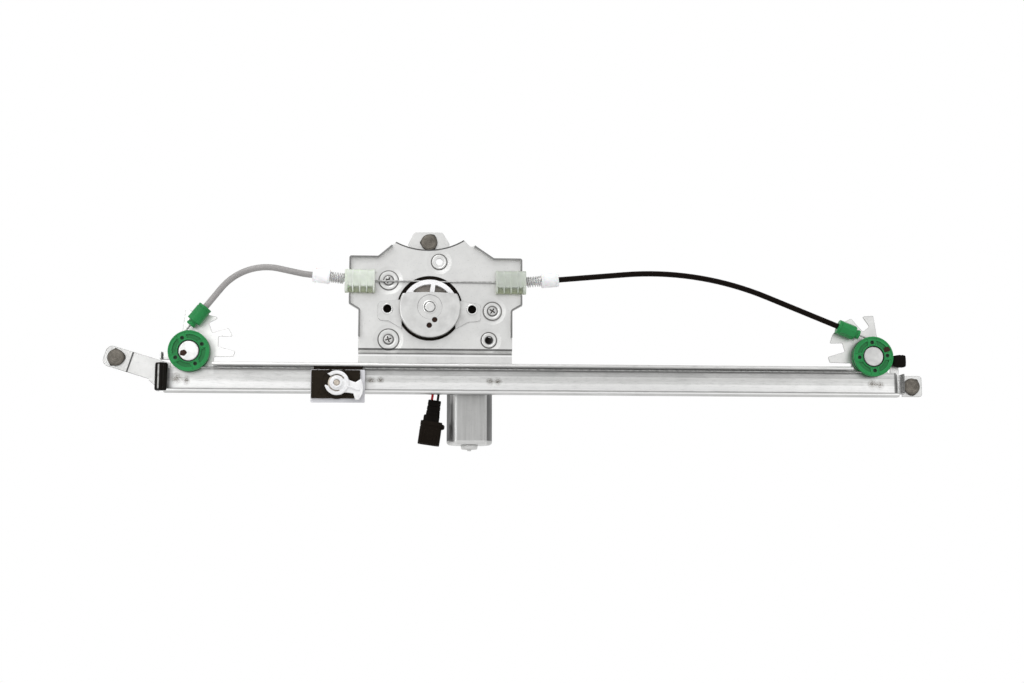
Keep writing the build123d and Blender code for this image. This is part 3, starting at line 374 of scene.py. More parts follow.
def tube(line, radius, columns=10, ripple=None):
    """A round section carried along a line of points, with domed ends.

    The section's first axis is square to the tangent and to a fixed
    direction; radius may be one number or one per point, and ripple gives a
    factor on it from (distance along the line, angle round it).
    """
    line = np.asarray(line, float)
    tangent = np.gradient(line, axis=0)
    tangent /= np.linalg.norm(tangent, axis=1, keepdims=True)
    fixed = AWAY if abs(tangent[:, 1]).max() < 0.9 else RIGHT
    first = np.cross(tangent, fixed)
    first /= np.linalg.norm(first, axis=1, keepdims=True)
    second = np.cross(tangent, first)
    step = np.linalg.norm(np.diff(line, axis=0, prepend=line[:1]), axis=1)
    run = np.cumsum(step)
    angle = np.linspace(0, 2 * math.pi, columns, endpoint=False)
    size = np.broadcast_to(np.asarray(radius, float), (len(line),))[:, None] * np.ones(columns)
    if ripple:
        size = size * ripple(run[:, None], angle[None])
    points = (
        line[:, None]
        + (size * np.cos(angle))[..., None] * first[:, None]
        + (size * np.sin(angle))[..., None] * second[:, None]
    )
    low = np.broadcast_to(line[:1, None], points[:1].shape)
    high = np.broadcast_to(line[-1:, None], points[-1:].shape)
    points = np.concatenate([low, points, high])
    return points, grid_faces(len(points), columns)


def rounded_box(centre, size, edge, axes=(RIGHT, AWAY, UP), columns=48, crown=0.0):
    """A box with rounded corners, as a grid of latitude and longitude.

    A unit direction on the sphere is raised to the box by a power law, so
    that its corner radius is edge; crown swells the faces.
    """
    half = np.asarray(size, float) / 2
    a = np.linspace(-math.pi / 2, math.pi / 2, columns // 2)
    b = np.linspace(0, 2 * math.pi, columns, endpoint=False)
    a, b = np.meshgrid(a, b, indexing="ij")
    d = np.stack([np.cos(a) * np.cos(b), np.cos(a) * np.sin(b), np.sin(a)], -1)
    power = 14.0
    share = np.sum(np.abs(d) ** power, -1, keepdims=True) ** (-1 / power)
    core = d * share * (half - edge)
    points = core + d * edge + crown * d * (1 - np.abs(d)) * half
    points = points[..., :1] * axes[0] + points[..., 1:2] * axes[1] + points[..., 2:] * axes[2]
    return points + np.asarray(centre, float), grid_faces(*a.shape)


def at(x, y, z):
    return np.array([x, y, z], float)


def spoke(degrees):
    """Unit vectors outwards and sideways, at an angle from X towards Z."""
    a = math.radians(degrees)
    return math.cos(a) * RIGHT + math.sin(a) * UP, math.cos(a) * UP - math.sin(a) * RIGHT


def bead(inner, outer, height):
    """Profile of a raised ring with soft corners."""
    return eased([(inner, -0.1), (inner, height), (outer, height), (outer, -0.1)], 0.25)


def rib(centre, degrees, reach, size, edge, columns=20):
    """A rounded bar along a spoke, its middle a reach from the centre."""
    along, across = spoke(degrees)
    return rounded_box(centre + along * reach, size, edge, (along, AWAY, across), columns)


# Finishes.
class Finish:
    """A material in the making: each method adds nodes and returns a socket."""

    def __init__(self, name, base, metallic=0.0, roughness=0.5, **sockets):
        self.material = bpy.data.materials.new(name)
        self.material.use_nodes = True
        self.tree = self.material.node_tree
        self.shader = self.tree.nodes["Principled BSDF"]
        self.material.diffuse_color = (*base, 1)
        sockets.update(Base_Color=(*base, 1), Metallic=metallic, Roughness=roughness)
        for socket, value in sockets.items():
            self.shader.inputs[socket.replace("_", " ")].default_value = value
        self.where = self.tree.nodes.new("ShaderNodeTexCoord").outputs["Object"]

    def add(self, kind, **inputs):
        node = self.tree.nodes.new(kind)
        for name, value in inputs.items():
            self.give(node.inputs[name.replace("_", " ")], value)
        return node

    def give(self, socket, value):
        if isinstance(value, bpy.types.NodeSocket):
            self.tree.links.new(value, socket)
        else:
            socket.default_value = value

    def placed(self, scale=(1, 1, 1), centre=(0, 0, 0), turn=(0, 0, 0)):
        """Object coordinates with centre (millimetres) moved to zero, then scaled."""
        node = self.add("ShaderNodeMapping", Vector=self.where)
        node.vector_type = "POINT"
        node.inputs["Scale"].default_value = scale
        node.inputs["Rotation"].default_value = turn
        node.inputs["Location"].default_value = [-c * 0.001 * f for c, f in zip(centre, scale)]
        return node.outputs["Vector"]

    def noise(self, scale, detail, rough=0.55, vector=None):
        node = self.add("ShaderNodeTexNoise", Scale=scale, Detail=detail, Roughness=rough)
        self.give(node.inputs["Vector"], vector or self.where)
        return node.outputs["Fac"]

    def spread(self, value, low, high, to_low=0.0, to_high=1.0):
        node = self.add("ShaderNodeMapRange", Value=value)
        for name, number in (
            ("From Min", low), ("From Max", high), ("To Min", to_low), ("To Max", to_high),
        ):
            node.inputs[name].default_value = number
        return node.outputs["Result"]

    def worked(self, kind, operation, values):
        node = self.tree.nodes.new(kind)
        node.operation = operation
        for socket, value in zip(node.inputs, values):
            self.give(socket, value)
        return node

    def math(self, operation, *values):
        return self.worked("ShaderNodeMath", operation, values).outputs[0]

    def times(self, first, second):
        return self.math("MULTIPLY", first, second)

    def measure(self, operation, *vectors):
        """LENGTH of one vector, or DOT_PRODUCT of two."""
        return self.worked("ShaderNodeVectorMath", operation, vectors).outputs["Value"]

    def mixed(self, share, first, second):
        node = self.tree.nodes.new("ShaderNodeMix")
        node.data_type = "RGBA"
        self.give(node.inputs[0], share)
        for socket, value in zip(node.inputs[6:8], (first, second)):
            self.give(socket, (*value, 1) if isinstance(value, tuple) else value)
        return node.outputs[2]

    def soft_rims(self, radius):
        """Normal that rounds the piece's edges off by a radius in millimetres."""
        node = self.tree.nodes.new("ShaderNodeBevel")
        node.samples = 6
        node.inputs["Radius"].default_value = radius * 0.001
        return node.outputs["Normal"]

    def from_axis(self, x, z):
        """Distance in millimetres from the Y axis line through x, z."""
        return self.measure("LENGTH", self.placed((1000, 0, 1000), (x, 0, z)))

    def along(self, axis):
        """One object coordinate in millimetres."""
        split = self.add("ShaderNodeSeparateXYZ", Vector=self.where)
        return self.times(split.outputs[axis], 1000.0)

    def past(self, direction, point):
        """How far (millimetres) a place lies past a point, along a direction."""
        return self.measure("DOT_PRODUCT", self.placed((1000, 1000, 1000), point), direction)

    def band(self, value, low, high, soft=0.3):
        """1 between low and high, fading over soft on either side."""
        rise = self.spread(value, low - soft, low + soft)
        return self.times(rise, self.spread(value, high - soft, high + soft, 1.0, 0.0))

    def inside(self, low, high, soft=0.3):
        """1 inside a box of object coordinates (millimetres), fading at its faces.

        Where the low corner has None, the box is open along that axis.
        """
        share = 1.0
        for axis, least, most in zip("XYZ", low, high):
            if least is not None:
                share = self.times(share, self.band(self.along(axis), least, most, soft))
        return share

    def rim_share(self, rims):
        """0 on flat faces and 1 on rounded rims."""
        flat = self.tree.nodes.new("ShaderNodeNewGeometry").outputs["Normal"]
        cosine = self.measure("DOT_PRODUCT", rims, flat)
        return self.spread(self.math("SUBTRACT", 1.0, cosine), 0.01, 0.12)

    def cloudy(self, clouds, tone, light, dark, low=0.3, high=0.7):
        """Tone times light in the dips of a noise, and times dark on its crests."""
        return self.mixed(self.spread(clouds, low, high), shade(tone, light), shade(tone, dark))

    def rim_shading(self, base, rims, strength, tone, factor):
        """Base colour, moved towards factor times the tone on the rims: painted shade where factor
        is below 1, painted highlight where it is above.
        """
        return self.mixed(self.times(self.rim_share(rims), strength), base, shade(tone, factor))

    def bump(self, height, depth, normal=None):
        node = self.add("ShaderNodeBump", Height=height, Distance=depth * 0.001, Strength=1.0)
        if normal:
            self.give(node.inputs["Normal"], normal)
        return node.outputs["Normal"]

    def done(self, base, roughness, normal):
        for name, value in (("Base Color", base), ("Roughness", roughness), ("Normal", normal)):
            if value is not None:
                self.give(self.shader.inputs[name], value)
        return self.material


def shade(rgb, factor):
    return tuple(min(1.0, c * factor) for c in rgb)


def plated_sheet(name, tone, grain, roughness, rim, edge, dishes=(), bands=(), smudges=(),
                 holes=(), streaks=0.0, creases=(), arcs=(), draw=0.4):
    """Zinc-plated sheet: cloudy tone, drawing lines along the grain, specks, rims darkened as
    painted shade.

    rim is how far the rims are rounded and edge how dark the painted shade on them is. A
    dish (x, z, radius) is a soft hollow with a ring of painted shade, a hole (x, z,
    radius) is darkened inside as painted shadow, a band (low corner, high corner, share,
    factor) is a box of painted light and shade where the tone moves towards factor times
    itself, a smudge (x, z, half length, half height) is the grainy mark that a spot weld
    leaves on the other face, a crease (direction, point, low corner, high corner) is a
    line of painted shade square to the direction, and an arc (x, z, radius, low corner,
    high corner) is a curved line of painted shadow. streaks is the strength of broad
    lines along the rail, and draw that of the fine drawing lines.
    """
    f = Finish(name, tone, metallic=1.0, roughness=roughness)
    clouds = f.noise(38.0, 5, 0.6)
    lines = f.noise(1.0, 3, 0.6, f.placed(grain))
    specks = f.spread(f.noise(900.0, 2), 0.64, 0.72)
    base = f.cloudy(clouds, tone, 1.06, 0.88, 0.3, 0.75)
    base = f.mixed(f.spread(lines, 0.35, 0.8, 0, draw), base, shade(tone, 0.72))
    base = f.mixed(f.times(specks, 0.35), base, shade(tone, 0.45))
    if streaks:
        broad = f.noise(1.0, 3, 0.5, f.placed((3, 60, 130)))
        base = f.mixed(f.spread(broad, 0.32, 0.68, streaks, 0.0), base, shade(tone, 0.55))
        base = f.mixed(f.spread(broad, 0.5, 0.75, 0.0, streaks), base, shade(tone, 1.5))
        dashes = f.noise(1.0, 4, 0.7, f.placed((110, 600, 800)))
        base = f.mixed(f.spread(dashes, 0.5, 0.72, 0.0, 0.55), base, shade(tone, 0.5))
    for x, z, wide, high in smudges:
        reach = f.measure("LENGTH", f.placed((1000 / wide, 0, 1000 / high), (x, 0, z)))
        near = f.spread(reach, 0.25, 1.1, 1.0, 0.0)
        patches = f.spread(f.noise(1300.0, 2, 0.5), 0.4, 0.6, 0.3, 1.0)
        base = f.mixed(f.times(near, patches), base, WELD_BROWN)
    rims = f.soft_rims(rim)
    # Rims darkened as painted shade.
    base = f.rim_shading(base, rims, edge, tone, 0.25)
    normal, hollow = rims, 0.0
    for x, z, radius in dishes:
        distance = f.from_axis(x, z)
        # A ring of painted shade round each dish.
        line = f.band(distance, radius - 0.2, radius + 0.8, 0.25)
        base = f.mixed(f.times(line, 0.85), base, DISH_SHADE)
        hollow = f.math("MAXIMUM", hollow, f.spread(distance, radius + 4.5, radius))
    if dishes:
        normal = f.bump(f.times(hollow, -1.0), 0.8, rims)
    # Painted shadow inside each hole.
    for x, z, radius in holes:
        base = f.mixed(f.spread(f.from_axis(x, z), radius + 1.2, radius), base, HOLE_SHADOW)
    # Boxes of painted light and shade.
    for low, high, strength, factor in bands:
        patchy = f.spread(clouds, 0.2, 0.8, 0.75 * strength, strength)
        base = f.mixed(f.times(f.inside(low, high), patchy), base, shade(tone, factor))
    # Lines of painted shade along creases and arcs.
    shade_lines = [(f.past(direction, point), low, high) for direction, point, low, high in creases]
    for x, z, radius, low, high in arcs:
        shade_lines.append((f.math("SUBTRACT", f.from_axis(x, z), radius), low, high))
    for distance, low, high in shade_lines:
        line = f.times(f.band(distance, -0.8, 0.8), f.inside(low, high))
        base = f.mixed(line, base, shade(tone, 0.12))
    rough = f.spread(clouds, 0.3, 0.7, roughness - 0.06, roughness + 0.08)
    rough = f.math("ADD", rough, f.times(lines, 0.08))
    height = f.math("ADD", f.times(lines, 0.6), f.noise(260.0, 4))
    return f.done(base, rough, f.bump(height, 0.035, normal))


def moulded(name, tone, roughness, grain=700.0, rim=0.35, depth=0.02, **sockets):
    """Moulded plastic: fine spark grain, faint flow clouds and rims paler as painted highlights.
    """
    f = Finish(name, tone, roughness=roughness, **sockets)
    clouds = f.noise(70.0, 3)
    rims = f.soft_rims(rim)
    # Rims paler as painted highlights.
    base = f.rim_shading(f.cloudy(clouds, tone, 1.08, 0.86), rims, 0.35, tone, 1.6)
    rough = f.spread(clouds, 0.3, 0.7, roughness - 0.05, roughness + 0.07)
    return f.done(base, rough, f.bump(f.noise(grain, 3), depth, rims))


def pulley_plastic(name, tone):
    """Pulley moulding: paler face, sunk faces darkened green as painted shade, a near-black
    painted shadow round the axle, and rims darkened as painted shade.
    """
    f = Finish(name, tone, roughness=0.36, Specular_IOR_Level=0.3)
    clouds = f.noise(90.0, 4)
    sunk = f.spread(f.along("Y"), -13.35, -12.7)
    base = f.cloudy(clouds, tone, 1.1, 0.86)
    # Sunk faces darkened as painted shade.
    base = f.mixed(f.times(sunk, 0.5), base, shade(tone, 0.4))
    # Near-black painted shadow in the gap round each axle.
    nearest = f.math("MINIMUM", *(f.from_axis(x, z) for x, _, z in PULLEYS.values()))
    base = f.mixed(f.spread(nearest, 9.9, 9.6), base, (0.004, 0.012, 0.006))
    rims = f.soft_rims(0.55)
    # Rims darkened as painted shade.
    base = f.rim_shading(base, rims, 0.85, tone, 0.2)
    rough = f.spread(clouds, 0.3, 0.7, 0.3, 0.45)
    return f.done(base, rough, f.bump(f.noise(450.0, 3), 0.03, rims))


def rubber(name, tone, roughness, depth, gloss, painted_highlight_x=None):
    """Moulded rubber: dusty in patches, with a fine pebble; where given, the last argument is the
    X of a pale line painted down the round crest as a highlight.
    """
    f = Finish(name, tone, roughness=roughness, Specular_IOR_Level=gloss)
    dust = f.spread(f.noise(120.0, 5, 0.65), 0.45, 0.8, 0, 0.4)
    base = f.mixed(dust, tone, shade(tone, 1.9))
    # A pale line down the crest, as a painted highlight.
    if painted_highlight_x:
        low, high = node_box("left_buffer")
        foot = (painted_highlight_x - 0.5, low[1] - 1.0, low[2] + 1.6)
        crest = f.inside(foot, (painted_highlight_x + 0.5, low[1] + 1.5, high[2] - 1.6), 0.45)
        patchy = f.spread(f.noise(300.0, 3), 0.3, 0.6, 0.55, 1.0)
        base = f.mixed(f.times(crest, patchy), base, (0.62, 0.62, 0.60))
    pebble = f.add("ShaderNodeTexVoronoi", Scale=1100.0, Vector=f.where).outputs["Distance"]
    rough = f.spread(dust, 0, 0.5, roughness - 0.05, roughness + 0.12)
    return f.done(base, rough, f.bump(pebble, depth, f.soft_rims(0.4)))


def turned_steel(name, tone, axis_point, roughness, rings=6.5, cut=0.14, wall=None, holes=(),
                 edge=0.45):
    """Steel with turning rings about a Y axis.

    rings is how fast they follow one another (radians per millimetre) and cut
    their strength. Between the two depths of wall (millimetres) the steel is
    darkened as painted shade, inside each hole (x, z, radius) it is near black as
    painted shadow, and edge is how dark the painted shade on its rims is.
    """
    f = Finish(name, tone, metallic=1.0, roughness=roughness)
    distance = f.from_axis(axis_point[0], axis_point[2])
    wave = f.math("SINE", f.times(distance, rings))
    clouds = f.noise(110.0, 4)
    base = f.cloudy(clouds, tone, 1.08, 0.85, 0.35, 0.7)
    base = f.mixed(f.times(f.spread(wave, -1, 1), cut), base, shade(tone, 0.6))
    rims = f.soft_rims(0.55)
    # Rims darkened as painted shade.
    base = f.rim_shading(base, rims, edge, tone, 0.2)
    # Between the wall's two depths the steel is darkened as painted shade.
    if wall:
        shaded_wall = f.band(f.along("Y"), *wall, 0.15)
        base = f.mixed(f.times(shaded_wall, 0.9), base, WALL_SHADE)
    # Near black inside each hole, as painted shadow.
    for x, z, radius in holes:
        base = f.mixed(f.spread(f.from_axis(x, z), radius + 0.2, radius), base, HOLE_SHADOW)
    height = f.math("ADD", f.times(wave, 1.8 * cut), f.noise(500.0, 3))
    rough = f.spread(clouds, 0.3, 0.7, roughness - 0.05, roughness + 0.08)
    return f.done(base, rough, f.bump(height, 0.02, rims))


def stud_steel(name, tone):
    """Bare heat-browned steel of the weld studs: header rings, and painted shade darker towards
    the rim.
    """
    f = Finish(name, tone, metallic=0.75, roughness=0.5)
    heat = f.spread(f.noise(150.0, 5, 0.65), 0.35, 0.7)
    grain = f.noise(900.0, 3)
    nearest = 99.0
    for node in STUDS:
        nearest = f.math("MINIMUM", nearest, f.from_axis(*node_centre(node)[[0, 2]]))
    rings = f.math("SINE", f.times(nearest, 3.6))
    base = f.mixed(heat, shade(tone, 1.35), shade(tone, 0.62))
    base = f.mixed(f.spread(rings, -1, 1, 0.0, 0.35), base, shade(tone, 0.45))
    base = f.mixed(f.spread(grain, 0.55, 0.75, 0, 0.4), base, (0.33, 0.3, 0.27))
    # Painted shade, darker towards each head's rim.
    base = f.mixed(f.spread(nearest, 5.8, 7.8, 0.0, 0.8), base, shade(tone, 0.25))
    rough = f.spread(heat, 0, 1, 0.42, 0.62)
    height = f.math("ADD", grain, f.times(rings, 0.5))
    return f.done(base, rough, f.bump(height, 0.06, f.soft_rims(0.3)))


def drawn_can(name, tone):
    """Drawn motor can: upright draw lines, a cloudy zinc skin, and painted shade and highlights
    across the round.
    """
    (left, _, bottom), (right, _, _) = node_box("motor_can")
    # Upright bands of painted shade and painted highlight across the can: (from, to, share,
    # factor), in millimetres along X.
    uprights = (
        (left - 1.1, left + 1.1, 0.95, 0.04), (right - 1.1, right + 1.1, 0.95, 0.04),
        (left - 0.5, left + 2.6, 0.85, 0.12), (left + 2.6, left + 4.8, 0.4, 0.6),
        (left + 5.2, left + 9.0, 0.8, 1.5),
        (right - 5.2, right - 1.0, 0.88, 0.16), (right - 6.6, right - 5.6, 0.9, 1.5),
    )
    shades = [((low, None, None), (high, None, None), *rest) for low, high, *rest in uprights]
    # Painted light on the bevel round the can's bottom.
    shades.append(((None, None, -230.0), (None, None, bottom + 8.6), 0.8, 1.4))
    return plated_sheet(name, tone, (420, 420, 14), 0.38, 2.4, 0.0, bands=shades, draw=0.75)


def twisted_steel(name, tone):
    """Wire of the cable: bright strands over dark grease between them."""
    f = Finish(name, tone, metallic=1.0, roughness=0.35)
    grease = f.spread(f.noise(300.0, 4), 0.4, 0.7)
    base = f.mixed(grease, tone, shade(tone, 0.6))
    slanted = f.placed(turn=(0, 0.6, 0))
    wires = f.add("ShaderNodeTexWave", Scale=420.0, Distortion=0.6, Vector=slanted).outputs["Fac"]
    return f.done(base, f.spread(grease, 0, 1, 0.3, 0.5), f.bump(wires, 0.08))


def extruded_sheath(name, tone, roughness, gloss=0.5, dusty=1.35):
    """Extruded sheath: faint clouds, dust of the given brightness and a fine skin."""
    f = Finish(name, tone, roughness=roughness, Specular_IOR_Level=gloss)
    streaks = f.noise(45.0, 4, 0.5)
    dust = f.spread(f.noise(90.0, 5, 0.6), 0.5, 0.8, 0, 0.35)
    base = f.mixed(dust, f.cloudy(streaks, tone, 1.08, 0.9), shade(tone, dusty))
    rough = f.spread(streaks, 0.3, 0.7, roughness - 0.05, roughness + 0.08)
    return f.done(base, rough, f.bump(f.noise(650.0, 3), 0.01))


def clear_moulding(name, tone):
    """Milky plastic of the cable holders: light passes into it, its hollows are darkened olive
    towards the bottom as painted shade, and its rims are paler as painted highlights.
    """
    f = Finish(name, tone, roughness=0.34, Subsurface_Weight=0.55, Subsurface_Scale=0.004,
               Subsurface_Radius=(0.9, 1.0, 0.8), Transmission_Weight=0.12, IOR=1.5)
    clouds = f.noise(160.0, 4)
    rims = f.soft_rims(0.4)
    # Painted shade: deep hollows turn olive, more towards the bottom.
    deep = f.spread(f.along("Y"), -16.0, -12.4)
    low = f.spread(f.along("Z"), DRUM_TOP + 2.0, DRUM_TOP - 7.0, 0.25, 0.9)
    base = f.mixed(f.times(deep, low), f.cloudy(clouds, tone, 1.06, 0.92), (0.34, 0.38, 0.24))
    # Rims paler as painted highlights.
    base = f.mixed(f.times(f.rim_share(rims), 0.4), base, (0.84, 0.92, 0.90))
    rough = f.spread(clouds, 0.3, 0.7, 0.28, 0.42)
    return f.done(base, rough, f.bump(f.noise(420.0, 3), 0.02, rims))


def drum_plastic(name, tone):
    """White drum plastic whose sunk window floors are grey-brown."""
    f = Finish(name, tone, roughness=0.4)
    floor = f.spread(f.along("Y"), -10.1, -9.2)
    clouds = f.noise(160.0, 4)
    window_floor_tone = f.mixed(f.spread(clouds, 0.35, 0.65), (0.30, 0.27, 0.24), (0.16, 0.145, 0.125))
    base = f.mixed(floor, f.cloudy(clouds, tone, 1.0, 0.92), window_floor_tone)
    grain = f.bump(f.noise(600.0, 3), 0.02, f.soft_rims(0.35))
    return f.done(base, f.spread(floor, 0, 1, 0.4, 0.28), grain)


def wound_copper(name, tone):
    """Enamelled copper windings, laid side by side."""
    f = Finish(name, tone, metallic=0.9, roughness=0.3, Coat_Weight=0.4)
    turns = f.add("ShaderNodeTexWave", Scale=900.0, Distortion=0.4, Vector=f.where).outputs["Fac"]
    base = f.mixed(f.spread(turns, 0.2, 0.8), shade(tone, 0.5), tone)
    return f.done(base, None, f.bump(turns, 0.12))


def cast_alloy(name, tone):
    """Die-cast alloy: grainy, with flow marks and dull patches."""
    f = Finish(name, tone, metallic=0.9, roughness=0.45)
    flow = f.noise(60.0, 6, 0.65)
    rough = f.spread(flow, 0.3, 0.7, 0.35, 0.55)
    grain = f.bump(f.noise(500.0, 4), 0.06, f.soft_rims(0.4))
    return f.done(f.cloudy(flow, tone, 1.15, 0.75), rough, grain)


finishes = {}


def mix_finishes(tones):
    """Makes every finish once, from the user's colours."""
    zinc, stud, green, white, holder, black, soft, grey, red = (
        tuple(getattr(tones, name)) for name in RegulatorColours.__annotations__
    )
    dishes = [(*place, r) for place, r in zip(SCREW_PLACES + BUSH_PLACES, DISH_RADII)]
    # Places darkened as painted shadow: the bush hole, a ring round each screw head, and inside
    # the cover's holes and the rivets.
    plate_holes = [(*BUSH_PLACES[1], 3.3), *((*place, 4.3) for place in SCREW_PLACES)]
    cover_holes = [(*place, 2.25) for place in COVER_HOLES]
    rivet_holes = [(*place, 3.75) for place in RIVET_PLACES]
    screw_axis = at(SCREW_PLACES[0][0], 0, SCREW_PLACES[0][1])
    # X of the pale line painted down the left buffer's roll as a highlight.
    crest = node_box("left_buffer")[0][0] + 3.7
    bent = (40, 200, 60)
    finishes.update(
        # Sheet metal.
        rail=plated_sheet("rolled_zinc", shade(zinc, 1.1), (9, 500, 500), 0.33, 0.5, 0.5,
                          bands=RAIL_SHADING, smudges=WELD_SMUDGES, streaks=0.35),
        plate=plated_sheet("pressed_zinc", zinc, (60, 60, 60), 0.4, 0.5, 0.45, dishes=dishes,
                           bands=PLATE_SHADING, arcs=[PLATE_TOP], holes=plate_holes),
        arm=plated_sheet("bent_zinc", shade(zinc, 0.92), bent, 0.4, 0.9, 0.95,
                         creases=[ARM_CREASE]),
        bracket=plated_sheet("stamped_zinc", zinc, bent, 0.4, 0.7, 0.9, bands=TAB_SHADING),
        # A lighter copy of the bracket zinc, as painted light, for the left pulley bracket and its
        # lug.
        bright_bracket=plated_sheet("bright_zinc", shade(zinc, 1.3), bent, 0.4, 0.9, 0.95,
                                    bands=LUG_SHADING),
        can=drawn_can("can_zinc", shade(zinc, 0.69)),
        # Turned, cast and wound metal.
        # Painted shade on the cover's side wall, and painted shadow in the cover's holes.
        cover=turned_steel("cover_zinc", shade(zinc, 0.95), DRUM_AXIS, 0.38, 2.25, 0.03,
                           (-14.9, -9.7), cover_holes, 0.9),
        stud=stud_steel("stud_steel", stud),
        # Painted shade on the screw heads next to the plate.
        screw=turned_steel("screw_zinc", shade(zinc, 0.9), screw_axis, 0.26, wall=(-9.1, -8.0)),
        rivet=turned_steel("rivet_zinc", shade(zinc, 1.1), DRUM_AXIS, 0.3, 0.15,
                           holes=rivet_holes),
        shaft=turned_steel("shaft_steel", shade(zinc, 1.1), DRUM_AXIS, 0.3),
        axle=turned_steel("axle_steel", shade(zinc, 0.8), PULLEYS["right"], 0.4, 1.75, 0.05),
        # A lighter copy of the axle steel for the left axle, as painted light.
        bright_axle=turned_steel("bright_axle_steel", shade(zinc, 1.12), PULLEYS["left"], 0.4,
                                 1.75, 0.05),
        spring=turned_steel("spring_wire", shade(zinc, 0.9), DRUM_AXIS, 0.26, 0.15),
        pin=turned_steel("pin_steel", (0.58, 0.52, 0.45), CLIP_CENTRE, 0.4, 1.0, 0.05),
        bronze=turned_steel("bearing_bronze", (0.66, 0.47, 0.26), MOTOR_AXIS, 0.4, 1.0),
        cable=twisted_steel("cable_wire", shade(zinc, 0.66)),
        copper=wound_copper("winding_copper", (0.72, 0.33, 0.16)),
        alloy=cast_alloy("lid_alloy", (0.55, 0.55, 0.55)),
        magnet=cast_alloy("magnet_ferrite", (0.10, 0.10, 0.10)),
        # Plastic and paint.
        green=moulded("green_moulding", shade(green, 0.8), 0.38, 500.0, 0.45,
                      Specular_IOR_Level=0.3),
        pulley=pulley_plastic("pulley_moulding", shade(green, 0.9)),
        bore=moulded("bore_shadow", shade(green, 0.12), 0.7),
        white=moulded("white_moulding", white, 0.4, 600.0, 0.45, 0.015,
                      Subsurface_Weight=0.12, Subsurface_Scale=0.001),
        drum=drum_plastic("drum_moulding", white),
        # Two copies of the holder plastic: the right one darker, as painted shade.
        left_holder=clear_moulding("left_holder_moulding", shade(holder, 0.95)),
        right_holder=clear_moulding("right_holder_moulding", shade(holder, 0.72)),
        clip=moulded("clip_moulding", shade(white, 0.9), 0.4, 600.0, 0.45, 0.015),
        base_plastic=moulded("carriage_moulding", (0.64, 0.64, 0.67), 0.42),
        black=moulded("black_moulding", black, 0.44, 450.0, 0.4, 0.05, Specular_IOR_Level=0.05),
        wheel=moulded("wheel_moulding", (0.80, 0.78, 0.72), 0.4),
        paint_dot=moulded("brown_paint", (0.030, 0.012, 0.007), 0.35, 300.0, 0.1, 0.1,
                          Specular_IOR_Level=0.15),
        # Rubber and sheaths.
        pad=rubber("pad_rubber", (0.013, 0.009, 0.005), 0.5, 0.03, 0.1),
        rubber=rubber("buffer_rubber", soft, 0.4, 0.01, 0.05),
        hood=rubber("hood_rubber", soft, 0.2, 0.004, 0.08, crest),
        grey_conduit=extruded_sheath("grey_sheath", grey, 0.45),
        black_conduit=extruded_sheath("black_sheath", (0.005, 0.003, 0.002), 0.34, 0.05, 1.1),
        red_wire=extruded_sheath("red_sheath", red, 0.35, 0.4),
        black_wire=extruded_sheath("thin_black_sheath", (0.004, 0.004, 0.004), 0.35, 0.2),
    )


def dress(finish, *nodes):
    """Gives CAD nodes a finish."""
    for node in nodes:
        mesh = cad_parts[node].data
        mesh.materials.clear()
        mesh.materials.append(finishes[finish])


# Pieces.
class REGULATOR_OT_sheet_metal(bpy.types.Operator):
    """Finishes the rail, plate and brackets, and adds the seats of the screws and bushes"""

    bl_idname = "regulator.sheet_metal"
    bl_label = "Sheet Metal"

    def execute(self, context):
        dress("rail", "guide_rail")
        dress("plate", "motor_plate")
        dress("bracket", "right_end_bracket", "right_pulley_bracket")
        dress("bright_bracket", "left_pulley_bracket")
        dress("arm", "left_end_bracket")
        rings = []
        for (x, z), outer in zip(SCREW_PLACES, SCREW_RINGS):
            seat = eased(
                [(2.0, -0.2), (2.0, 0.35), (5.2, 0.4), (6.2, 0.78), (outer - 0.4, 0.8),
                 (outer, 0.3), (outer, -0.2)], 0.5,
            )
            rings.append(turned(at(x, PLATE_FRONT + 0.02, z), VIEWER, seat, 72))
        collar = eased(
            [(3.25, -1.4), (3.3, 0.1), (5.4, 0.95), (6.2, 0.95), (6.8, 0.4), (6.8, -0.2)], 0.5,
        )
        rings += [turned(at(x, PLATE_FRONT, z), VIEWER, collar, 64) for x, z in BUSH_PLACES]
        join("plate_rings", rings, "frame", finishes["plate"])
        return {"FINISHED"}


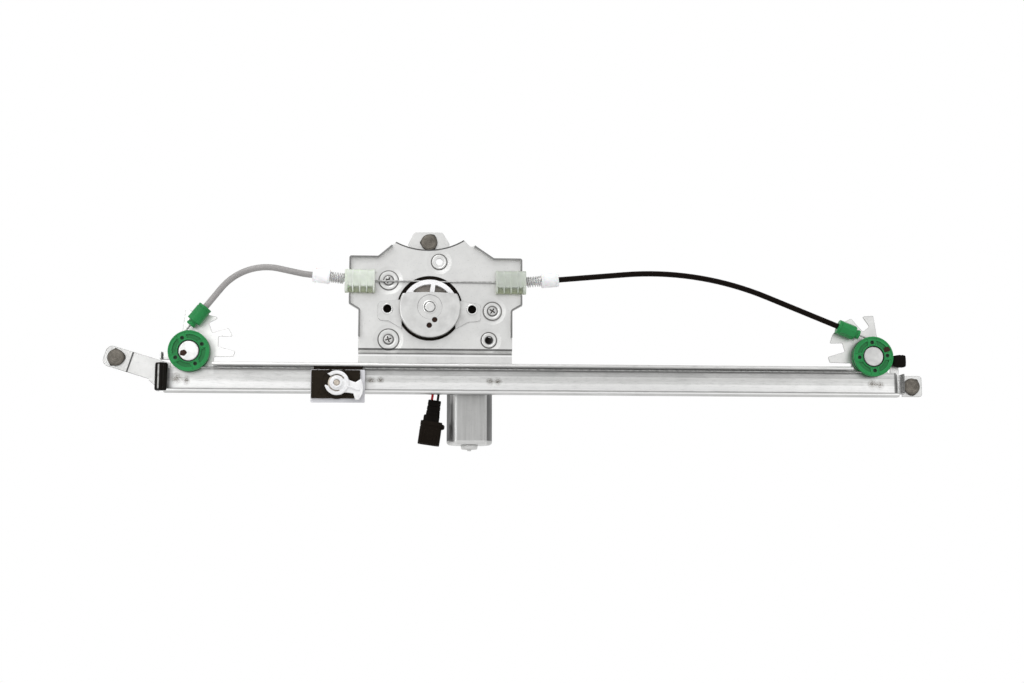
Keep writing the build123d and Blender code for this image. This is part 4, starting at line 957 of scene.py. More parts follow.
class REGULATOR_OT_studs(bpy.types.Operator):
    """Replaces the weld studs: head with three nibs and turning marks, threaded shank"""

    bl_idname = "regulator.studs"
    bl_label = "Weld Studs"

    def execute(self, context):
        # Angles of each head's three nibs, from X towards Z; the first nib is the widest.
        nibs = {
            "upper_stud": (56, 180, 310), "left_stud": (4, 92, 238), "right_stud": (274, 51, 163),
        }
        for node in STUDS:
            low, high = node_box(node)
            centre = (low + high) / 2
            centre[1] = 0.0
            self.make_stud(node, centre, -low[1], high[1], np.radians(nibs[node]))
        return {"FINISHED"}

    def make_stud(self, node, centre, head_top, length, nibs):
        """A head with nibs on a threaded shank.

        Head: a low dome whose rim swells by exp(-(angle from the nib / width) ** 2)
        at each nib, with rings of 0.07 * cos(3.6 * radius) on its face. Shank:
        radius 3 less 0.42 times a triangle wave of height / pitch - angle / full turn.
        """
        pitch = bpy.context.scene.regulator_sizes.thread_pitch
        crest = 3.0
        head_profile = eased(
            [(0.0, head_top - 0.15), (5.6, head_top - 0.1), (7.2, head_top - 0.35),
             (7.5, head_top - 1.0), (7.45, 1.55), (3.45, 1.5), (3.4, 0.02), (2.6, 0.0),
             (0.0, 0.0)], 0.5,
        )

        def swell(r, h, a):
            gap = np.mod(a[..., None] - nibs + math.pi, 2 * math.pi) - math.pi
            nib = np.exp(-((gap / (0.42, 0.17, 0.17)) ** 2)).sum(-1) * (r > 6.9)
            rings = 0.07 * np.cos(r * 3.6) * (r < 6.8)
            return r + nib * (h > 1.2), h + (rings - 0.4 * nib) * (h > 2.5)

        head = turned(centre, VIEWER, head_profile, 144, swell, False)
        rows = int(length / pitch * 12)  # twelve rows to a turn
        height = np.linspace(0.0, length - 0.6, rows)
        shank_profile = np.concatenate([
            [(0.0, 0.0)], np.stack([np.full(rows, crest), height], 1),
            [(2.4, length), (0.0, length)],
        ])

        def thread(r, h, a):
            saw = np.abs(np.mod(h / pitch - a / (2 * math.pi), 1.0) * 2 - 1)
            return np.where(r > 2.9, crest - 0.42 * saw, r), h

        shank = turned(centre, AWAY, shank_profile, 40, thread, False)
        piece = join(node + "_piece", [head, shank], "frame", finishes["stud"])
        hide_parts(node)


class REGULATOR_OT_fasteners(bpy.types.Operator):
    """Replaces the motor screws and the cover's tubular rivets"""

    bl_idname = "regulator.fasteners"
    bl_label = "Screws and Rivets"

    def execute(self, context):
        self.screws()
        self.rivets()
        return {"FINISHED"}

    def screws(self):
        """Pan heads with a cross recess.

        The height is 1.42 - 0.42 * (radius / 4.2) ** 3, less 0.85 times a step
        of the distance from the nearer arm of the cross.
        """
        rim_radius = 4.2
        radius = np.concatenate([np.linspace(0, 3.2, 22), [3.6, 3.95, 4.15, rim_radius]])
        dome = 1.42 - 0.42 * (radius / rim_radius) ** 3
        head = np.stack([radius, dome], 1)
        rim = np.array([(rim_radius, 0.5), (4.1, 0.05), (2.5, 0.0), (2.5, -9.8), (0.0, -9.8)])
        profile = np.concatenate([head, rim])
        parts = []
        for index, (x, z) in enumerate(SCREW_PLACES):
            spin = 0.35 + 0.9 * index

            def cross(r, h, a):
                arm = r * np.minimum(np.abs(np.cos(a + spin)), np.abs(np.sin(a + spin)))
                step = np.clip((0.62 - arm) / 0.22, 0, 1) * np.clip((2.9 - r) / 0.5, 0, 1)
                return r, h - 0.85 * step * (h > 0.9)

            parts.append(turned(at(x, PLATE_FRONT + 0.02, z), VIEWER, profile, 96, cross, False))
        piece = join("motor_screw_pieces", parts, "frame", finishes["screw"])
        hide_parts("motor_screws")

    def rivets(self):
        """Tubes whose rims are rolled over: the profile is a closed C round the hole."""
        low, high = node_box("cover_rivets")
        back, front = high[1] - PLATE_FRONT, low[1] - PLATE_FRONT
        profile = eased(
            [(3.35, -back + 0.3), (3.4, -front - 0.9), (3.75, -front - 0.1), (4.7, -front),
             (5.1, -front - 0.5), (5.0, -front - 0.9), (3.88, -front - 0.95), (3.88, -back + 0.8),
             (5.0, -back + 0.75), (5.05, -back + 0.3), (4.6, -back), (3.8, -back),
             (3.35, -back + 0.3)], 0.3,
        )
        parts = [turned(at(x, PLATE_FRONT, z), VIEWER, profile[:-1], 56) for x, z in RIVET_PLACES]
        piece = join("cover_rivet_pieces", parts, "frame", finishes["rivet"])
        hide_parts("cover_rivets")


class REGULATOR_OT_pulleys(bpy.types.Operator):
    """Finishes pulleys and axles, adds ribs, paint and near-black discs of painted shadow in the
    holes, and replaces the ferrules
    """

    bl_idname = "regulator.pulleys"
    bl_label = "Pulleys and Ferrules"

    def execute(self, context):
        dress("pulley", "left_pulley", "right_pulley")
        dress("bright_axle", "left_pulley_axle")
        dress("axle", "right_pulley_axle")
        for side, turn in PULLEY_TURN.items():
            self.face_ribs(side, turn)
        self.left_lug()
        left_face, right_face = node_box("left_pulley_axle")[0][1], node_box("right_pulley")[0][1]
        self.dot("left_paint_dot", at(-215.7, left_face, -104.5), "frame")
        self.dot("right_paint_dot", at(416.8, right_face, -96.2), "right_wheel")
        self.ferrule("left", 52.0, -1)
        self.ferrule("right", -22.0, 1)
        return {"FINISHED"}

    def left_lug(self):
        """Lug of the left bracket beside the pulley, its end folded forward."""
        back = node_box("left_pulley_bracket")[1][1]
        parts = [
            rounded_box(at(-232.4, back - 0.75, -106.0), (8.6, 1.46, 7.0), 0.3, columns=28),
            rounded_box(at(-236.4, back - 2.6, -106.0), (1.5, 5.0, 7.4), 0.35, columns=28),
        ]
        join("left_bracket_lug", parts, "frame", finishes["bright_bracket"])

    def face_ribs(self, side, turn):
        """Raised rim, a ring round the bore, radial ribs, and near-black discs of painted shadow
        in the four holes.
        """
        centre = PULLEYS[side].copy()
        centre[1] = node_box(side + "_pulley")[0][1]
        parts = [
            turned(centre, VIEWER, bead(16.9, 18.25, 0.4), 96),
            turned(centre, VIEWER, bead(9.65, 10.5, 0.4), 72),
        ]
        # Near-black discs in the holes, as painted shadow.
        shadow_disc = eased(
            [(0.0, -1.2), (1.2, -1.2), (1.24, 0.03), (1.8, 0.06), (1.9, -0.08), (1.2, -1.4),
             (0.0, -1.4)], 0.08,
        )
        holes, hole_circle = [], 12.9
        foot, size = centre + AWAY * 0.05, (6.6, 0.75, 0.7)
        for start in turn + np.arange(0, 360, 90):
            for offset in (13.5, 76.5):
                parts.append(rib(foot, start + offset, 13.8, size, 0.2))
            middle = centre + hole_circle * spoke(start)[0]
            holes.append(turned(middle, VIEWER, shadow_disc, 28, closed=False))
        join(side + "_pulley_ribs", parts, side + "_wheel", finishes["pulley"])
        join(side + "_pulley_bores", holes, side + "_wheel", finishes["bore"])

    def dot(self, name, place, body):
        """A thick dab of paint: a dome whose outline wavers."""
        profile = eased([(0.0, 0.32), (1.6, 0.28), (2.6, 0.16), (2.95, -0.02), (0.0, -0.05)], 0.5)

        def waver(r, h, a):
            outline = 1 + 0.07 * np.sin(2 * a + 1) + 0.05 * np.cos(5 * a)
            return r * outline, h + 0.04 * np.sin(4 * a) * (r > 1)

        points, faces = turned(place, VIEWER, profile, 40, waver, False)
        build(name, points, faces, body, finishes["paint_dot"])

    def ferrule(self, side, heading, sign):
        """Turned body, on the right with eight flats; its back is pressed flat on the bracket.

        A flat takes the radius down to R * cos(pi / 8) / cos(angle from its middle).
        """
        along, across = spoke(heading)
        outward = sign * along
        touch = PULLEYS[side] + PULLEY_PITCH * across  # where the cable meets the pulley
        touch[1] = CABLE_DEPTH
        rear = touch - outward * 39.6  # 39.6 mm from there to the ferrule's rear
        bracket_face = -4.02
        bore = 2.85 if side == "left" else 2.55
        profile = eased(
            [(bore, 0.6), (bore + 0.5, 0.0), (6.2, 0.0), (6.4, 0.3), (6.4, 2.2), (6.1, 2.4),
             (6.1, 2.8), (6.6, 3.0), (6.6, 16.3), (6.3, 16.6), (3.9, 16.7), (3.9, 18.9),
             (4.3, 19.0), (4.3, 20.7), (3.9, 21.1), (1.35, 21.1), (1.25, 20.0), (1.25, 12.0),
             (bore, 11.4)], 0.2,
        )

        def flutes(r, h, angle):
            body = (h > 2.9) & (h < 16.7) & (r > 5.0)
            flat = math.cos(math.pi / 8) / np.cos(np.mod(angle, math.pi / 4) - math.pi / 8)
            return r * np.where(body & (side == "right"), flat, 1.0), h

        points, faces = turned(rear, outward, profile, 96, flutes)
        points[..., 1] = np.minimum(points[..., 1], bracket_face)
        piece = build(side + "_ferrule_piece", points, faces, "frame", finishes["green"])
        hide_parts(side + "_ferrule")


# Cable ends at the drum: X where each sleeve, holder and bend of the cable lies, and the
# cable's tilt beyond that bend in degrees.
SPRINGS = {
    "left": {"sleeve": -88.4, "holder": -75.1, "bend": -59.7, "tilt": 6.2},
    "right": {"sleeve": 101.4, "holder": 87.4, "bend": 85.0, "tilt": 5.2},
}


class REGULATOR_OT_cable_run(bpy.types.Operator):
    """Finishes conduits and sleeves, replaces holders and springs, and lays the cable's strands"""

    bl_idname = "regulator.cable_run"
    bl_label = "Cable Run"

    def execute(self, context):
        dress("grey_conduit", "left_conduit")
        dress("black_conduit", "right_conduit")
        dress("white", "left_sleeve", "right_sleeve")
        dress("cable", "lift_cable")
        for side in SPRINGS:
            self.holder(side)
            self.spring(side)
            self.sleeve_beads(side)
        left, right = PULLEYS["left"][0], PULLEYS["right"][0]
        runs = [
            ((left, CABLE_DEPTH, CABLE_HEIGHT), (right, CABLE_DEPTH, CABLE_HEIGHT)),
            ((-13.0, CABLE_DEPTH - 1, DRUM_TOP), (-51.0, CABLE_DEPTH, DRUM_TOP)),
            ((15.0, CABLE_DEPTH + 1, DRUM_TOP), (76.0, CABLE_DEPTH, DRUM_TOP)),
        ]
        strands = [self.strands(*run) for run in runs]
        piece = join("cable_strands", strands, "frame", finishes["cable"], 70)
        return {"FINISHED"}

    def strands(self, start, end):
        """A section of six lobes that turns as it goes along.

        The radius is 0.86 * (0.88 + 0.12 * |cos 3 (angle - 2 pi * run / lay)|).
        """
        lay = bpy.context.scene.regulator_sizes.cable_lay
        start, end = np.array(start, float), np.array(end, float)
        count = int(np.linalg.norm(end - start) / (lay / 11)) + 2
        line = start + (end - start) * np.linspace(0, 1, count)[:, None]

        def lobes(run, angle):
            return 0.88 + 0.12 * np.abs(np.cos(3 * (angle - 2 * math.pi * run / lay)))

        return tube(line, 0.86, 24, lobes)

    def holder(self, side):
        """Domed block with five thin ribs.

        Each section is a closed loop round the cable's line, a mix of the full
        loop of a rib and the hollow loop between ribs. The rib's share is the
        largest of five bells 1 / (1 + |distance / width| ** 8) along the length.
        """
        low, high = node_box(side + "_cable_holder")
        middle = (low[2] + high[2]) / 2
        half = (high[2] - low[2]) / 2
        back, front = high[1], low[1]
        # Loops as (share of the half height, share of the depth).
        full = np.array([
            (-0.97, 0), (-1, 0.04), (-1, 0.72), (-0.93, 0.86), (-0.66, 0.97), (-0.3, 1), (0, 1),
            (0.3, 1), (0.66, 0.97), (0.93, 0.86), (1, 0.72), (1, 0.04), (0.97, 0), (0, 0),
        ])
        hollow = np.array([
            (-0.93, 0), (-0.97, 0.04), (-0.97, 0.42), (-0.90, 0.5), (-0.6, 0.56), (-0.48, 0.95),
            (0, 0.99), (0.3, 0.99), (0.66, 0.955), (0.92, 0.84), (0.985, 0.7), (0.99, 0.04),
            (0.96, 0), (0, 0),
        ])
        t = np.linspace(0, 1, 150)
        out = t if side == "left" else 1 - t
        centres = np.array([0.03, 0.27, 0.50, 0.73, 0.965])
        width = np.array([0.075, 0.022, 0.022, 0.022, 0.03])
        bells = 1 / (1 + np.abs((out[:, None] - centres) / width) ** 8)
        share = np.max(bells, axis=1)[:, None, None]
        loop = full + (hollow - full) * (1 - share)
        x = low[0] + (high[0] - low[0]) * t
        points = np.stack([
            np.broadcast_to(x[:, None], loop.shape[:2]),
            back + (front - back) * loop[..., 1],
            middle + half * loop[..., 0],
        ], -1)
        ends = points[[0, -1]].mean(1, keepdims=True) * np.ones((1, len(full), 1))
        points = np.concatenate([ends[:1], points, ends[1:]])
        faces = grid_faces(*points.shape[:2])
        finish = finishes[side + "_holder"]
        piece = build(side + "_holder_piece", points, faces, "frame", finish, 50)
        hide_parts(side + "_cable_holder")

    def place(self, side, x):
        """The point of the tilted cable at x."""
        spring = SPRINGS[side]
        rise = math.tan(math.radians(spring["tilt"])) * abs(x - spring["bend"])
        return at(x, CABLE_DEPTH, DRUM_TOP + rise)

    def spring(self, side):
        """Round wire on a helix between the sleeve and the holder."""
        wire_radius, coil_radius = 0.65, 4.35
        spring = SPRINGS[side]
        start, end = self.place(side, spring["sleeve"]), self.place(side, spring["holder"])
        axis = end - start
        length = np.linalg.norm(axis)
        turns = bpy.context.scene.regulator_sizes.spring_turns
        points, faces = helix(start, axis, coil_radius, 0.7, length - 1.1, turns, wire_radius)
        piece = build(side + "_spring_piece", points, faces, "frame", finishes["spring"])
        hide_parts(side + "_spring")
        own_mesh(piece)

    def sleeve_beads(self, side):
        """Two raised rings on the sleeve."""
        spring = SPRINGS[side]
        sign = -1 if side == "left" else 1
        bead = eased([(6.2, -0.7), (6.55, -0.45), (6.55, 0.45), (6.2, 0.7)], 0.3)
        parts = []
        for distance in (1.6, 13.2):
            middle = self.place(side, spring["sleeve"] + sign * distance)
            toward = self.place(side, spring["holder"]) - middle
            parts.append(turned(middle, toward, bead, 56))
        join(side + "_sleeve_beads", parts, side + "_sliding_sleeve", finishes["white"])


class REGULATOR_OT_drum(bpy.types.Operator):
    """Finishes the drum, its cover and shaft, and adds a collar, dark blobs of grease and painted
    shade behind the cover's holes, and the shaft's end
    """

    bl_idname = "regulator.drum"
    bl_label = "Cable Drum"

    def execute(self, context):
        dress("drum", "cable_drum")
        dress("cover", "drum_cover")
        dress("shaft", "output_shaft")
        dress("wheel", "worm_wheel")
        face = node_box("drum_cover")[0][1]
        centre = at(DRUM_AXIS[0], face, DRUM_AXIS[2])
        collar = eased(
            [(4.95, -1.9), (4.95, -0.35), (5.5, -0.28), (6.4, -0.62), (6.5, -0.75), (5.6, -1.9)],
            0.25,
        )
        join("cover_collar", [turned(centre, VIEWER, collar, 72)], "frame", finishes["cover"])
        # Dark blobs behind the cover's holes: grease, and painted shade where the holes look in.
        blob = eased([(0.0, 0.5), (2.4, 0.42), (3.2, 0.05), (3.0, 0.0), (0.0, 0.0)], 0.4)
        grease = [
            turned(at(x, face + 2.2, z), VIEWER, blob, 32, closed=False) for x, z in COVER_HOLES
        ]
        join("cover_grease", grease, "frame", finishes["paint_dot"])
        boss = eased(
            [(1.0, -0.6), (1.2, 0.82), (3.2, 0.98), (4.1, 0.75), (4.35, 0.2), (4.35, -0.6)], 0.3,
        )
        tip = at(DRUM_AXIS[0], node_box("output_shaft")[0][1] + 0.86, DRUM_AXIS[2])
        join("shaft_end", [turned(tip, VIEWER, boss, 48)], "drum", finishes["shaft"])
        return {"FINISHED"}


class REGULATOR_OT_motor(bpy.types.Operator):
    """Finishes the motor and the gear housing, and adds ribs, windings and worm thread"""

    bl_idname = "regulator.motor"
    bl_label = "Motor and Gear"

    def execute(self, context):
        dress("can", "motor_can")
        dress("black", "gear_housing", "brush_card")
        dress("alloy", "gear_cover")
        dress("magnet", "magnets")
        dress("shaft", "motor_shaft")
        dress("alloy", "armature")
        dress("copper", "commutator")
        dress("bronze", "lower_bearing", "upper_bearing")
        self.lid_ribs()
        self.case_ribs()
        self.windings()
        self.worm()
        self.can_details()
        return {"FINISHED"}

    def lid_ribs(self):
        """Radial ribs and a ring on the lid's back, without ribs where the motor is."""
        lid_back = node_box("gear_cover")[1][1] - 1.5
        centre = at(DRUM_AXIS[0], lid_back, DRUM_AXIS[2])
        ring = eased([(8.8, -0.2), (9.0, 1.45), (10.4, 1.45), (10.6, -0.2)], 0.25)
        parts = [turned(centre, AWAY, ring, 64)]
        count = bpy.context.scene.regulator_sizes.housing_ribs
        for degrees in np.linspace(0, 360, count, endpoint=False):
            tip = centre + 27.5 * spoke(degrees)[0]
            if tip[0] <= MOTOR_AXIS[0] - 11.5 and (tip[2] >= -84.0 or tip[0] <= 16.0):
                parts.append(rib(centre + AWAY * 0.4, degrees, 18.4, (17.0, 1.4, 1.3), 0.3))
        join("lid_ribs", parts, "frame", finishes["alloy"])

    def case_ribs(self):
        """Upright ribs and lid bosses round the wheel case, and bands round the worm tunnel."""
        centre = at(DRUM_AXIS[0], 9.5, DRUM_AXIS[2])
        parts = [
            rib(centre, degrees, 35.2, (2.4, 24.0, 1.8), 0.4)
            for degrees in (100, 125, 150, 175, 200, 225, 250)
        ]
        boss = eased(
            [(0.0, 2.0), (1.6, 2.0), (1.7, 3.2), (3.4, 3.2), (3.9, 2.6), (4.1, -1.0), (0.0, -1.0)],
            0.3,
        )
        boss_circle = 30.6
        for degrees in (112, 190, 262):
            place = at(DRUM_AXIS[0], 22.6, DRUM_AXIS[2]) + boss_circle * spoke(degrees)[0]
            parts.append(turned(place, AWAY, boss, 40, closed=False))
        for height in (-50.0, -60.0, -70.0, -80.0):
            middle = at(MOTOR_AXIS[0], MOTOR_AXIS[1], height)
            parts.append(rounded_box(middle, (21.4, 21.2, 1.5), 0.4, columns=28))
        join("case_ribs", parts, "frame", finishes["black"])

    def windings(self):
        """Copper heads at both ends of the stack.

        The section is an ellipse; radius and height swell with cos(8 * angle).
        """
        low, high = node_box("armature")
        centre = (low + high) / 2
        t = np.linspace(0, 2 * math.pi, 20, endpoint=False)
        ring = np.stack([7.6 + 3.9 * np.cos(t), 3.0 + 3.1 * np.sin(t)], 1)

        def swell(r, h, a):
            return r * (1 + 0.035 * np.cos(8 * a)), h * (1 + 0.05 * np.cos(8 * a))

        parts = [
            turned(at(centre[0], centre[1], face), sign * UP, ring, 96, swell)
            for sign, face in ((1, high[2]), (-1, low[2]))
        ]
        join("armature_windings", parts, "rotor", finishes["copper"])

    def worm(self):
        """Thread on the worm.

        The radius is 4.62 + 0.3 * tanh(2.5 * cos(2 pi * height / lead - angle)).
        """
        top, bottom, rows = -46.0, -79.2, 180
        middle_radius, root_radius, lead = 4.62, 3.0, 3.2
        height = np.linspace(bottom, top, rows)
        profile = np.concatenate([
            [(root_radius, bottom)], np.stack([np.full(rows, middle_radius), height], 1),
            [(root_radius, top)],
        ])

        def thread(r, h, a):
            wave = np.cos(2 * math.pi * h / lead - a)
            return np.where(r > 4.0, middle_radius + 0.3 * np.tanh(2.5 * wave), r), h

        points, faces = turned(at(MOTOR_AXIS[0], MOTOR_AXIS[1], 0), UP, profile, 36, thread)
        build("worm_thread", points, faces, "rotor", finishes["shaft"])

    def can_details(self):
        """A pressed ring round the can's end boss, and a nub on the boss."""
        centre = at(MOTOR_AXIS[0], MOTOR_AXIS[1], node_box("motor_can")[0][2])
        ring = eased(
            [(4.0, 2.0), (4.4, 1.35), (6.4, 1.35), (7.3, 1.9), (7.5, 3.4), (7.9, 5.3), (7.2, 5.4)],
            0.5,
        )
        nub = eased([(0.0, 0.0), (1.0, 0.05), (1.75, 0.7), (1.95, 1.9), (0.0, 2.0)], 0.5)
        parts = [turned(centre, UP, ring, 64), turned(centre, UP, nub, 40, closed=False)]
        join("can_boss", parts, "frame", finishes["can"])


class REGULATOR_OT_pigtail(bpy.types.Operator):
    """Makes the two wires as free cords, and the boot and the plug on their end"""

    bl_idname = "regulator.pigtail"
    bl_label = "Pigtail"

    def execute(self, context):
        boot = self.boot()
        plug = self.plug()
        routes = {
            "red_wire": ((6.8, 8.0, -107.0), (6.4, 7.2, -126.0), (3.2, 5.0, -146.0)),
            "black_wire": ((12.0, 8.0, -107.0), (11.6, 7.2, -126.0), (8.4, 5.0, -146.6)),
        }
        for node, route in routes.items():
            route = np.array(route) * 0.001
            curve = bpy.data.curves.new(node + "_cord", "CURVE")
            curve.dimensions = "3D"
            spline = curve.splines.new("NURBS")
            spline.points.add(len(route) - 1)
            for point, place in zip(spline.points, route):
                point.co = (*place, 1)
            spline.order_u = 3
            spline.use_endpoint_u = True
            spline.resolution_u = 12
            curve.bevel_depth = 0.0011
            curve.bevel_resolution = 5
            curve.use_fill_caps = True
            cord = bpy.data.objects.new(node + "_cord", curve)
            context.scene.collection.objects.link(cord)
            curve.materials.append(finishes[node])
            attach(cord, "frame")
            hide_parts(node)
        return {"FINISHED"}

    # Where the boot starts, the way boot and plug point, and the way their width runs.
    START = np.array([6.3, 5.0, -143.5])
    POINTS = np.array([-0.1392, 0.0, -0.9903])
    ACROSS = np.array([0.9903, 0.0, -0.1392])

    def lofted(self, name, stations, finish, node, slot, power, extra=()):
        """Superellipse sections carried along the plug's axis.

        A station is (distance, width, depth, sideways shift); a point is
        width / 2 * sign(cos a) |cos a| ** (2 / power), and the same for depth.
        """
        stations = np.asarray(stations, float)
        a = np.linspace(0, 2 * math.pi, 64, endpoint=False)

        def squared(wave):
            return np.sign(wave) * np.abs(wave) ** (2 / power)

        wide = stations[:, 1:2] / 2 * squared(np.cos(a)) + stations[:, 3:4]
        deep = stations[:, 2:3] / 2 * squared(np.sin(a))
        points = (
            self.START + stations[:, :1, None] * self.POINTS
            + wide[..., None] * self.ACROSS + deep[..., None] * AWAY
        )
        parts = [(points, grid_faces(len(points), 64, ring_rows=True)), *extra]
        piece = join(name, parts, "frame", finishes[finish])
        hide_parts(node)
        return piece

    def boot(self):
        """Rubber boot: a hollow top that holds both wires, two soft waists and a step."""
        stations = [
            (4.0, 4.0, 2.0, 0), (0.8, 7.6, 3.4, 0), (0.0, 9.4, 5.6, 0), (0.1, 11.0, 8.0, 0),
            (0.6, 11.6, 8.6, 0), (4.2, 11.7, 8.7, 0), (4.6, 11.2, 8.2, 0), (5.4, 11.2, 8.2, 0),
            (5.8, 11.9, 8.9, 0), (8.4, 12.1, 9.0, 0), (8.8, 11.6, 8.6, 0), (9.6, 11.6, 8.6, 0),
            (10.0, 12.2, 9.1, 0), (13.6, 12.5, 9.4, 0), (14.0, 13.8, 10.2, -0.6),
            (14.4, 14.3, 10.5, -0.7), (19.4, 14.4, 10.6, -0.7), (19.5, 8.0, 6.0, 0),
            (19.5, 3.0, 2.0, 0),
        ]
        return self.lofted("wire_boot_piece", stations, "rubber", "wire_boot", "black_rubber", 4.0)

    def plug(self):
        """Plug housing: shoulder, grooves, long ribs, side knob, hollow mouth and two pins."""
        start, end = 19.3, 40.3
        sections = [
            (start, 2.0, 2.0), (start, 15.0, 10.0), (start + 0.1, 19.0, 13.4),
            (start + 0.7, 19.6, 14.0), (start + 3.8, 19.6, 14.0), (start + 4.1, 18.9, 13.3),
            (start + 5.2, 18.9, 13.3), (start + 5.5, 19.6, 14.0), (start + 7.2, 19.6, 14.0),
            (start + 7.4, 19.2, 13.6), (start + 8.0, 19.2, 13.6), (start + 8.2, 19.6, 14.0),
            (end - 0.5, 19.6, 14.0), (end, 19.0, 13.4), (end, 16.2, 10.6), (end - 0.4, 15.6, 10.0),
            (start + 9.2, 15.5, 9.9), (start + 9.0, 15.0, 9.4), (start + 9.0, 2.0, 2.0),
        ]
        stations = [(*section, 0) for section in sections]

        # Bars on the plug: (place across, in depth and past start), size, edge, columns.
        knob = [
            ((10.2, 0, 3.7), (2.8, 5.0, 5.0), 1.2, 28), ((11.4, 0, 3.7), (1.6, 3.6, 3.6), 0.6, 20),
        ]
        ribs = [
            ((wide, -6.95, 14.4), (0.9, 0.7, 11.4), 0.25, 20) for wide in (-7.2, -4.8, 4.8, 7.2)
        ]
        latch = [((0, -7.0, 13.4), (6.2, 0.7, 8.0), 0.3, 24)]
        pins = [((wide, 0, 12.0), (2.6, 0.8, 7.0), 0.2, 20) for wide in (-3.4, 3.4)]
        axes = (self.ACROSS, AWAY, self.POINTS)
        extra = []
        for (wide, deep, past), size, edge, columns in knob + ribs + latch + pins:
            place = wide * self.ACROSS + deep * AWAY + (start + past) * self.POINTS
            extra.append(rounded_box(self.START + place, size, edge, axes, columns))
        return self.lofted(
            "plug_piece", stations, "black", "connector", "black_plastic", 6.0, extra
        )


class REGULATOR_OT_carriage(bpy.types.Operator):
    """Finishes the carriage, and replaces its pad, pin and glass clip"""

    bl_idname = "regulator.carriage"
    bl_label = "Carriage and Clip"

    def execute(self, context):
        dress("black", "carriage_shoe")
        dress("base_plastic", "carriage_base")
        dress("alloy", "cable_nipple")
        self.pad()
        self.pin()
        self.clip()
        return {"FINISHED"}

    def pad(self):
        """Rubber pad: a plate with soft rims, two moulded lines and two faint seat rings."""
        low, high = node_box("carriage_pad")
        corner = 0.9
        x0, x1 = low[0] + corner, high[0] - corner
        z0, z1 = low[2] + corner, high[2] - corner
        outline = np.concatenate([
            arc(middle, corner, start, start + 90, 6)
            for middle, start in (((x0, z0), 180), ((x1, z0), 270), ((x1, z1), 0), ((x0, z1), 90))
        ])
        plate = cut_plate(outline, high[1], low[1] + 0.12, 0.35)
        piece = join("pad_piece", [plate], "carriage", finishes["pad"])
        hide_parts("carriage_pad")
        face = low[1] + 0.1
        middle = (low + high) / 2
        upright, level = at(low[0] + 2.0, face, middle[2]), at(middle[0], face, high[2] - 1.6)
        parts = []
        seats = ((-93.6, -138.4, 2.6, 40), (CLIP_CENTRE[0], CLIP_CENTRE[2], 13.4, 72))
        for x, z, r, columns in seats:
            ring = [(r - 0.5, -0.05), (r - 0.2, 0.1), (r + 0.2, 0.1), (r + 0.5, -0.05)]
            parts.append(turned(at(x, face, z), VIEWER, eased(ring, 0.2), columns))
        for place, size in ((upright, (0.5, 0.24, 23.0)), (level, (40.0, 0.24, 0.5))):
            parts.append(rounded_box(place, size, 0.08, columns=20))
        join("pad_lines", parts, "carriage", finishes["pad"])

    def pin(self):
        """Collar and pin with a soft domed end and a punched centre."""
        low, high = node_box("carriage_pin")
        height = high[1] - low[1]
        pad_top = 2.5
        profile = eased(
            [(0.0, 0.0), (4.8, 0.0), (4.8, pad_top), (7.6, pad_top), (8.1, pad_top + 0.3),
             (8.1, pad_top + 1.1), (7.7, pad_top + 1.4), (2.8, pad_top + 1.45),
             (2.8, height - 0.9), (2.1, height - 0.1), (1.0, height - 0.2), (0.0, height - 0.5)],
            0.35,
        )
        points, faces = turned(CLIP_CENTRE, VIEWER, profile, 64, closed=False)
        piece = build("pin_piece", points, faces, "carriage", finishes["pin"])
        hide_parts("carriage_pin")

    def clip(self):
        """White clip: sprung C ring round a stepped hub, and a hooked lever with rib and lip."""
        low, high = node_box("glass_clip")
        back, front = high[1], low[1]
        depth = back - front
        x, z = CLIP_CENTRE[0], CLIP_CENTRE[2]
        hook = (x + 6.6, z - 4.6)  # middle of the lever's outer curve
        ring = np.concatenate([
            arc((x, z), 10.8, -166, 127, 80),
            [(x - 8.3, z + 8.2), (x - 5.6, z + 5.9)],
            arc((x, z), 7.7, 112, -158, 60),
            [(x - 9.6, z - 1.9)],
        ])
        hub = eased(
            [(2.85, 0.0), (6.3, 0.0), (6.5, 0.4), (6.5, 4.0), (5.9, 4.4), (5.2, 4.5),
             (5.0, depth - 0.4), (4.4, depth), (3.4, depth), (2.85, depth - 0.5)], 0.35,
        )
        web = np.concatenate([arc((x, z), 6.3, -70, 30, 12), arc((x, z), 8.2, 30, -70, 12)])
        upper = [(8.6, 4.6), (11.4, 2.2), (16.4, 0.5), (20.6, 3.2), (21.7, 3.1)]
        lower = [(19.0, -15.0), (16.2, -14.9), (14.6, -9.3), (9.5, -8.6), (5.0, -8.4)]
        lever = np.concatenate([
            np.add(upper, (x, z)), arc(hook, 16.6, 24, -36, 16),
            np.add(lower, (x, z)), arc((x, z), 8.4, -52, 24, 10),
        ])
        lip = np.concatenate([arc(hook, 16.5, 20, -34, 16), arc(hook, 15.4, -34, 20, 16)])
        parts = [
            cut_plate(ring, back, front + 1.1, 0.5),
            cut_plate(web, back, front + 1.6, 0.3),
            cut_plate(lever, back, front + 2.1, 0.5),
            turned(at(x, back, z), VIEWER, hub, 64),
            rib(at(x, (back + front) / 2 + 0.2, z), -18.0, 14.6, (13.0, 4.4, 1.7), 0.5, 28),
            cut_plate(lip, back, front + 1.5, 0.3),
        ]
        piece = join("clip_piece", parts, "clip", finishes["clip"], 50)
        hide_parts("glass_clip")


